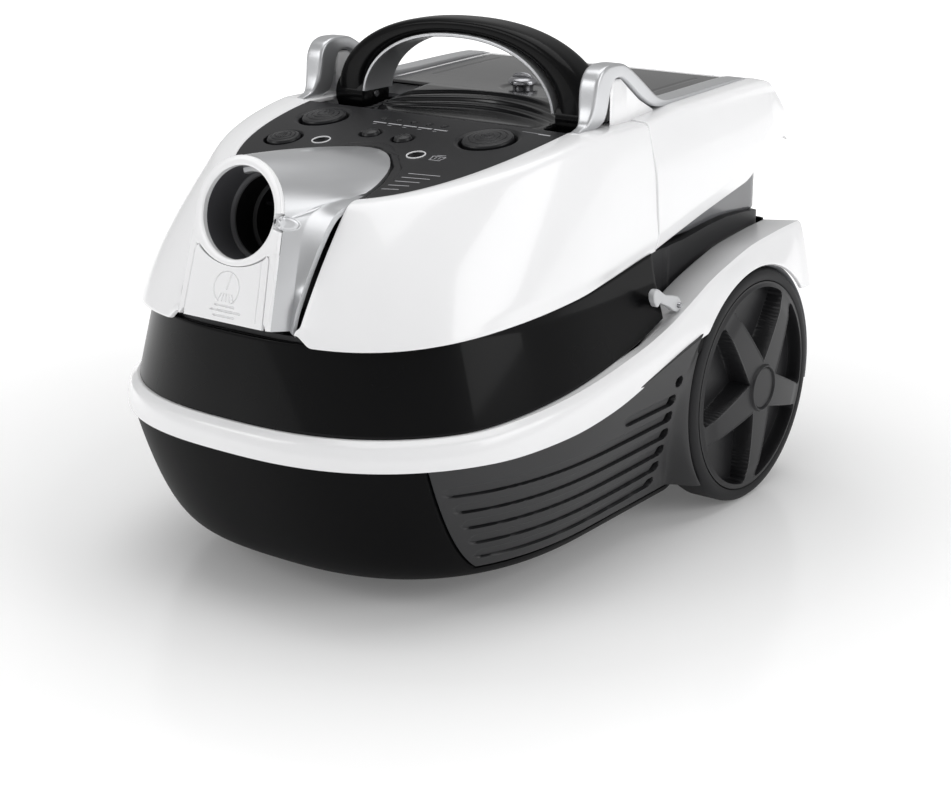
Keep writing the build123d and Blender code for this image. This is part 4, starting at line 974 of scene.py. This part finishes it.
bulk_half = np.array([(0, 45.4), (130, 45.4), (134.6, 45.6), (135.8, 46.8), (135.8, 48.6), (134.6, 49.8),
                      (130, 50), (0, 50)])
bulk_plan = closed_plan(resample(bulk_half, np.linspace(0, 1, 120)))
bulkhead = coords(bulk_plan[:, 0], bulk_plan[:, 1], np.array([151, 152, 210, 286, 288.6])[:, None])
ring_piece("bulkhead_skin", bulkhead, (0, 47.7, 220), shelf_black, "chassis", (), "black_gloss")


# ---- clear clean-water tank ----
# Smoky SAN tank inside the white cover; only its foot shows, between the cover and the shelf. Its
# top is closed by a gloss black plate with a steel filler knob.
plan = boxed((54, 112, 112, 68, 14), (229, 50, 112, 215, 14, (126, 140)), 160)
levels = np.concatenate([[203.0, 203.0, 203.6, 205], np.linspace(207, 290, 30)])[:, None]
draw = np.concatenate([[0.0, 0.985, 0.995, 1.0], np.ones(30)])[:, None]
tank_top = height([(50, 292), (84, 295), (205, 298), (212, 294), (230, 276)], plan[:, 1])
z = 203 + (levels - 203) * (tank_top - 203) / 87
tank = coords(plan[:, 0] * draw, 141 + (plan[:, 1] - 141) * draw, z)
smoke = moulded("smoky_clear_san_blown", "808184", 0.14, 6.0, 0.01, gloss=0.3, tint=0.1, spread=0.04)
smoke.node_tree.nodes["Principled BSDF"].inputs["Transmission Weight"].default_value = 0.35
ring_piece("tank_body_skin", tank, (0, 141, 250), smoke, "clean_tank", ["tank_body"], "smoky_clear")

rows, columns = table(90, 120)
x, y = 112.3 * columns, 61.6 + 142.5 * rows
z = 301.6 + 3.0 * smooth(62, 190, y)
z -= 1.6 * smooth(109.6, 112.2, abs(x)) + 1.4 * smooth(63.6, 61.8, y) + 2.4 * smooth(200, 204, y)
z -= 1.1 * smooth(17.5, 14.5, np.hypot(x, y - 88))
z -= 0.5 * smooth(1.0, 0.3, abs(np.maximum(abs(x) / 92, abs(y - 142) / 44) - 1) * 90)
plate = facing(coords(x, y, z), (0, 130, 200))
piece("tank_top_plate_skin", [shelled(plate, 1.6, 0.3)[0]], black_deck, "clean_tank", ["tank_top_plate"],
      "black_gloss")


def spun(section, centre, count=120):
    """A section of (radius, z) points turned about an upright axis through centre (x, y)."""
    angle = np.linspace(0, 2 * math.pi, count, endpoint=False)
    r, z = np.array(section, float).T
    return coords(centre[0] + r[:, None] * np.cos(angle), centre[1] + r[:, None] * np.sin(angle), z[:, None])


steel = moulded("turned_stainless_steel", "9A9A9D", 0.24, 0.25, 0.004, tint=0.05, metallic=1.0)
knob = spun([(0, 309.4), (6.4, 309.4), (8.6, 309.0), (10.2, 307.8), (10.9, 306.4), (10.8, 304.6),
             (9.6, 303.8), (8.0, 303.6), (7.6, 301.0), (7.6, 294)], (0, 88))
fin_x = np.linspace(-8.6, 8.6, 40)
fin_top = 309.2 + 3.6 * np.sqrt(1 - (fin_x / 8.61) ** 2)
fin = swept(coords(fin_x, 88, fin_top), coords(fin_x, 88, 308.8), (0, 1, 0), -1.4, 1.4, 3.0, 32)
ring_piece("filler_cap_knob", knob, (0, 88, 304), steel, "filler_cap", ["filler_cap"], "chrome_trim")
ring_piece("filler_cap_grip", fin, (0, 88, 309), steel, "filler_cap", (), "chrome_trim")


# ---- container latches ----
# Light grey POM hooks on steel pins in the ledge: each swings over a lug on the front container.
def cut_plate(name, outline, low, high, bevel, material, body, nodes=()):
    """A flat part: an outline of (y, z) points between two values of x, its edges rounded by a bevel."""
    count = len(outline)
    points = np.array([(x, y, z) for x in (low, high) for y, z in outline]) / 1000
    sides = [(k, (k + 1) % count, (k + 1) % count + count, k + count) for k in range(count)]
    faces = [tuple(range(count))[::-1], tuple(range(count, 2 * count))] + sides
    mesh = bpy.data.meshes.new(name)
    mesh.from_pydata(points.tolist(), [], faces)
    form = bmesh.new()
    form.from_mesh(mesh)
    bmesh.ops.recalc_face_normals(form, faces=form.faces)
    form.to_mesh(mesh)
    form.free()
    mesh.polygons.foreach_set("use_smooth", np.ones(len(mesh.polygons), bool))
    made = bpy.data.objects.new(name, mesh)
    rounding = made.modifiers.new("rounded_edges", "BEVEL")
    rounding.width = bevel / 1000
    rounding.segments = 3
    rounding.limit_method = "ANGLE"
    rounding.angle_limit = math.radians(40)
    rounding.harden_normals = True
    fit(made, material, body, nodes)


def eased(outline, count):
    """A closed outline resampled to an even count of points, with its corners eased once."""
    line = resample(np.array(outline + outline[:1], float), np.linspace(0, 1, count + 1)[:-1])
    return (np.roll(line, 1, axis=0) + line * 2 + np.roll(line, -1, axis=0)) / 4


latch_grey = moulded("light_grey_pom_moulded", "C4C5C7", 0.36, 0.5, 0.008, gloss=0.1, tint=0.04)
LATCH_PIVOT = (44.0, 170.5)
hook = eased([(44, 165.6), (48, 167.6), (48.6, 172.4), (45.6, 176.0), (38, 178.6), (28, 181.0), (22, 184.6),
              (18.4, 187.2), (14, 187.6), (11.2, 184.8), (12.2, 179.6), (15.6, 174.8), (18.6, 174.4),
              (20.2, 177.0), (24, 175.2), (33, 171.2), (40, 166.6)], 72)
for side, low, high in (("right", 158.9, 163.9), ("left", -163.9, -158.9)):
    node = "latch_lever_" + side
    cut_plate(node + "_hook", hook, low, high, 1.1, latch_grey, "latch_" + side, [node])
    boss = turned([(low, 0.0), (low, 4.2), (low + 0.4, 4.8), (high - 0.4, 4.8), (high, 4.2),
                   (high + 0.3, 3.4), (high + 0.3, 0.0)], 64, LATCH_PIVOT)
    ring_piece(node + "_boss", boss, ((low + high) / 2, *LATCH_PIVOT), latch_grey, "latch_" + side, (),
               "light_grey_plastic")


# ---- pins and axle ----
# Turned steel pins with chamfered ends hold the handle's feet and the latches; one long axle
# carries both wheels.
PINS = [([(84, 0), (84, 2.4), (84.6, 3), (107, 3), (107.6, 2.4), (107.6, 0)], HANDLE_PIVOT),
        ([(156.2, 0), (156.2, 1.6), (156.6, 2), (166, 2), (166.6, 1.5), (166.6, 0)], LATCH_PIVOT)]
pins = [turned([(side * x, r) for x, r in section], 48, pivot) for side in (-1, 1) for section, pivot in PINS]
pins = [facing(pin, tuple(pin[0, 0] * 0.5 + pin[-1, 0] * 0.5), True) for pin in pins]
piece("hinge_pins_skin", pins, steel, "chassis", ["hinge_pins"], "steel", wrap=True)


# ---- caster ----
# Trailing caster under the nose: a grey nylon fork on an upright pin and a grooved wheel.
ROLLER_AXIS = (-122.0, 21.0)
crown = spun([(0, 61), (4.2, 61), (5, 60.2), (5, 46.4), (15, 45.8), (16, 45.0), (16, 43.6), (15.2, 42.8),
              (0, 42.8)], (0, CASTER_Y))
axle = turned([(-12.4, 0), (-12.4, 3.2), (-11.8, 3.8), (-9.4, 3.8), (-9.4, 2.4), (9.4, 2.4), (9.4, 3.8),
               (11.8, 3.8), (12.4, 3.2), (12.4, 0)], 48, ROLLER_AXIS)
ring_piece("caster_fork_crown", crown, (0, CASTER_Y, 44.5), hub_grey, "caster_swivel", ["caster_fork"],
           "grey_plastic")
ring_piece("caster_fork_axle", axle, (0, *ROLLER_AXIS), hub_grey, "caster_swivel", (), "grey_plastic")
blade = eased([(-149, 45.8), (-121, 45.8), (-114.6, 24), (-115.4, 17.6), (-119, 14.4), (-125, 14.4),
               (-128.6, 17.6), (-130, 24)], 48)
for side, low, high in (("right", 9.4, 12.4), ("left", -12.4, -9.4)):
    cut_plate("caster_fork_leg_" + side, blade, low, high, 0.6, hub_grey, "caster_swivel", ())
tread = [(-8.8, 2.7), (-8.8, 6), (-8.0, 7), (-8.0, 15.6), (-8.8, 16.8), (-8.6, 19.8), (-7.4, 21), (-1.2, 21),
         (-0.7, 20.2), (0.7, 20.2), (1.2, 21), (7.4, 21), (8.6, 19.8), (8.8, 16.8), (8.0, 15.6), (8.0, 7),
         (8.8, 6), (8.8, 2.7)]
ring_piece("caster_wheel_skin", turned(tread, 120, ROLLER_AXIS), (0, -122, 10), rubber, "caster_roller",
           ["caster_wheel"], "grey_plastic")


# ---- rear cover ----
# Black ABS panel that closes the rear, with six sloping vent louvres, a raised frame round them and
# a rubber grommet for the mains lead.
rows, columns = table(250, 230, 0)
x, z = -132.8 + 265.6 * columns, 30.2 + 165.6 * rows
y = 225.8 - 1.2 * smooth(129.6, 132.6, abs(x)) - 1.2 * smooth(33.4, 30.4, z) - 1.2 * smooth(192.6, 195.6, z)
vents = smooth(-91, -88.5, x) * smooth(21, 18.5, x)
step = np.clip(z - 60, 0, 59.9) % 10
y -= 3.2 * vents * smooth(0, 1.0, step) * smooth(5.4, 4.2, step) * (z > 60) * (z < 120)
frame_gap = np.maximum(abs(x + 35) / 62, abs(z - 87.5) / 34)
y -= 0.6 * smooth(0.9, 0.3, abs(frame_gap - 1) * 40)
y -= 1.4 * smooth(12.4, 11.6, np.hypot(x - 70, z - 120))
y -= 0.7 * smooth(0.9, 0.3, abs(z - 150)) * smooth(124, 120, abs(x))
back_panel = facing(coords(x, y, z), (0, 100, 110))
piece("rear_cover_skin", [shelled(back_panel, 2.4, 0.4)[0]], black_matt, "chassis", ["rear_cover"],
      "black_abs", crisp=50)
r, y = np.array([(11.0, 224.6), (11.0, 227.8), (10.2, 228.8), (8.6, 229), (7.4, 228.2), (6.2, 228.8),
                 (5.2, 228.4), (4.6, 227.4), (4.6, 222)]).T[..., None]
grommet = coords(70 + r * np.cos(button_angle), y, 120 + r * np.sin(button_angle))
ring_piece("cable_outlet_skin", grommet, (70, 210, 120), rubber, "chassis", ["cable_outlet"], "rubber")


# ---- parts inside ----
# Motor, fan, pump, cable reel, filters, seals and the container's lid: plain moulded, pressed and
# foamed parts that show when the containers are lifted off.
inner_black = moulded("dark_abs_inner_moulded", "1F1F22", 0.5, 0.9, 0.012, tint=0.06)
seal_rubber = moulded("black_epdm_seal", "18181A", 0.6, 0.5, 0.02, tint=0.08)
foam = moulded("charcoal_open_cell_foam", "2A2A2E", 0.9, 1.6, 0.6, tint=0.3)
fleece = moulded("white_pleated_filter_fleece", "D8D7D0", 0.85, 0.8, 0.15, tint=0.08)
board_green = moulded("green_solder_mask", "123D22", 0.35, 2.5, 0.02, gloss=0.3, tint=0.15)
cup_grey = moulded("light_grey_pp_float", "B9BABD", 0.4, 0.6, 0.01, tint=0.05)
inside = {inner_black: ["cable_drum", "fan_housing", "impeller", "inlet_elbow", "reel_frame", "spray_pump",
                        "spray_socket", "suction_duct", "tank_lid", "tank_valve"],
          seal_rubber: ["motor_mounts", "suction_gasket", "tank_seal"],
          steel: ["base_screws", "motor_can", "rear_axle"], foam: ["foam_filter"], fleece: ["exhaust_filter"],
          board_green: ["circuit_board"], cup_grey: ["float_cup"], }
for material, names in inside.items():
    for name in names:
        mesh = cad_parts[name].data
        mesh.materials.clear()
        mesh.materials.append(material)
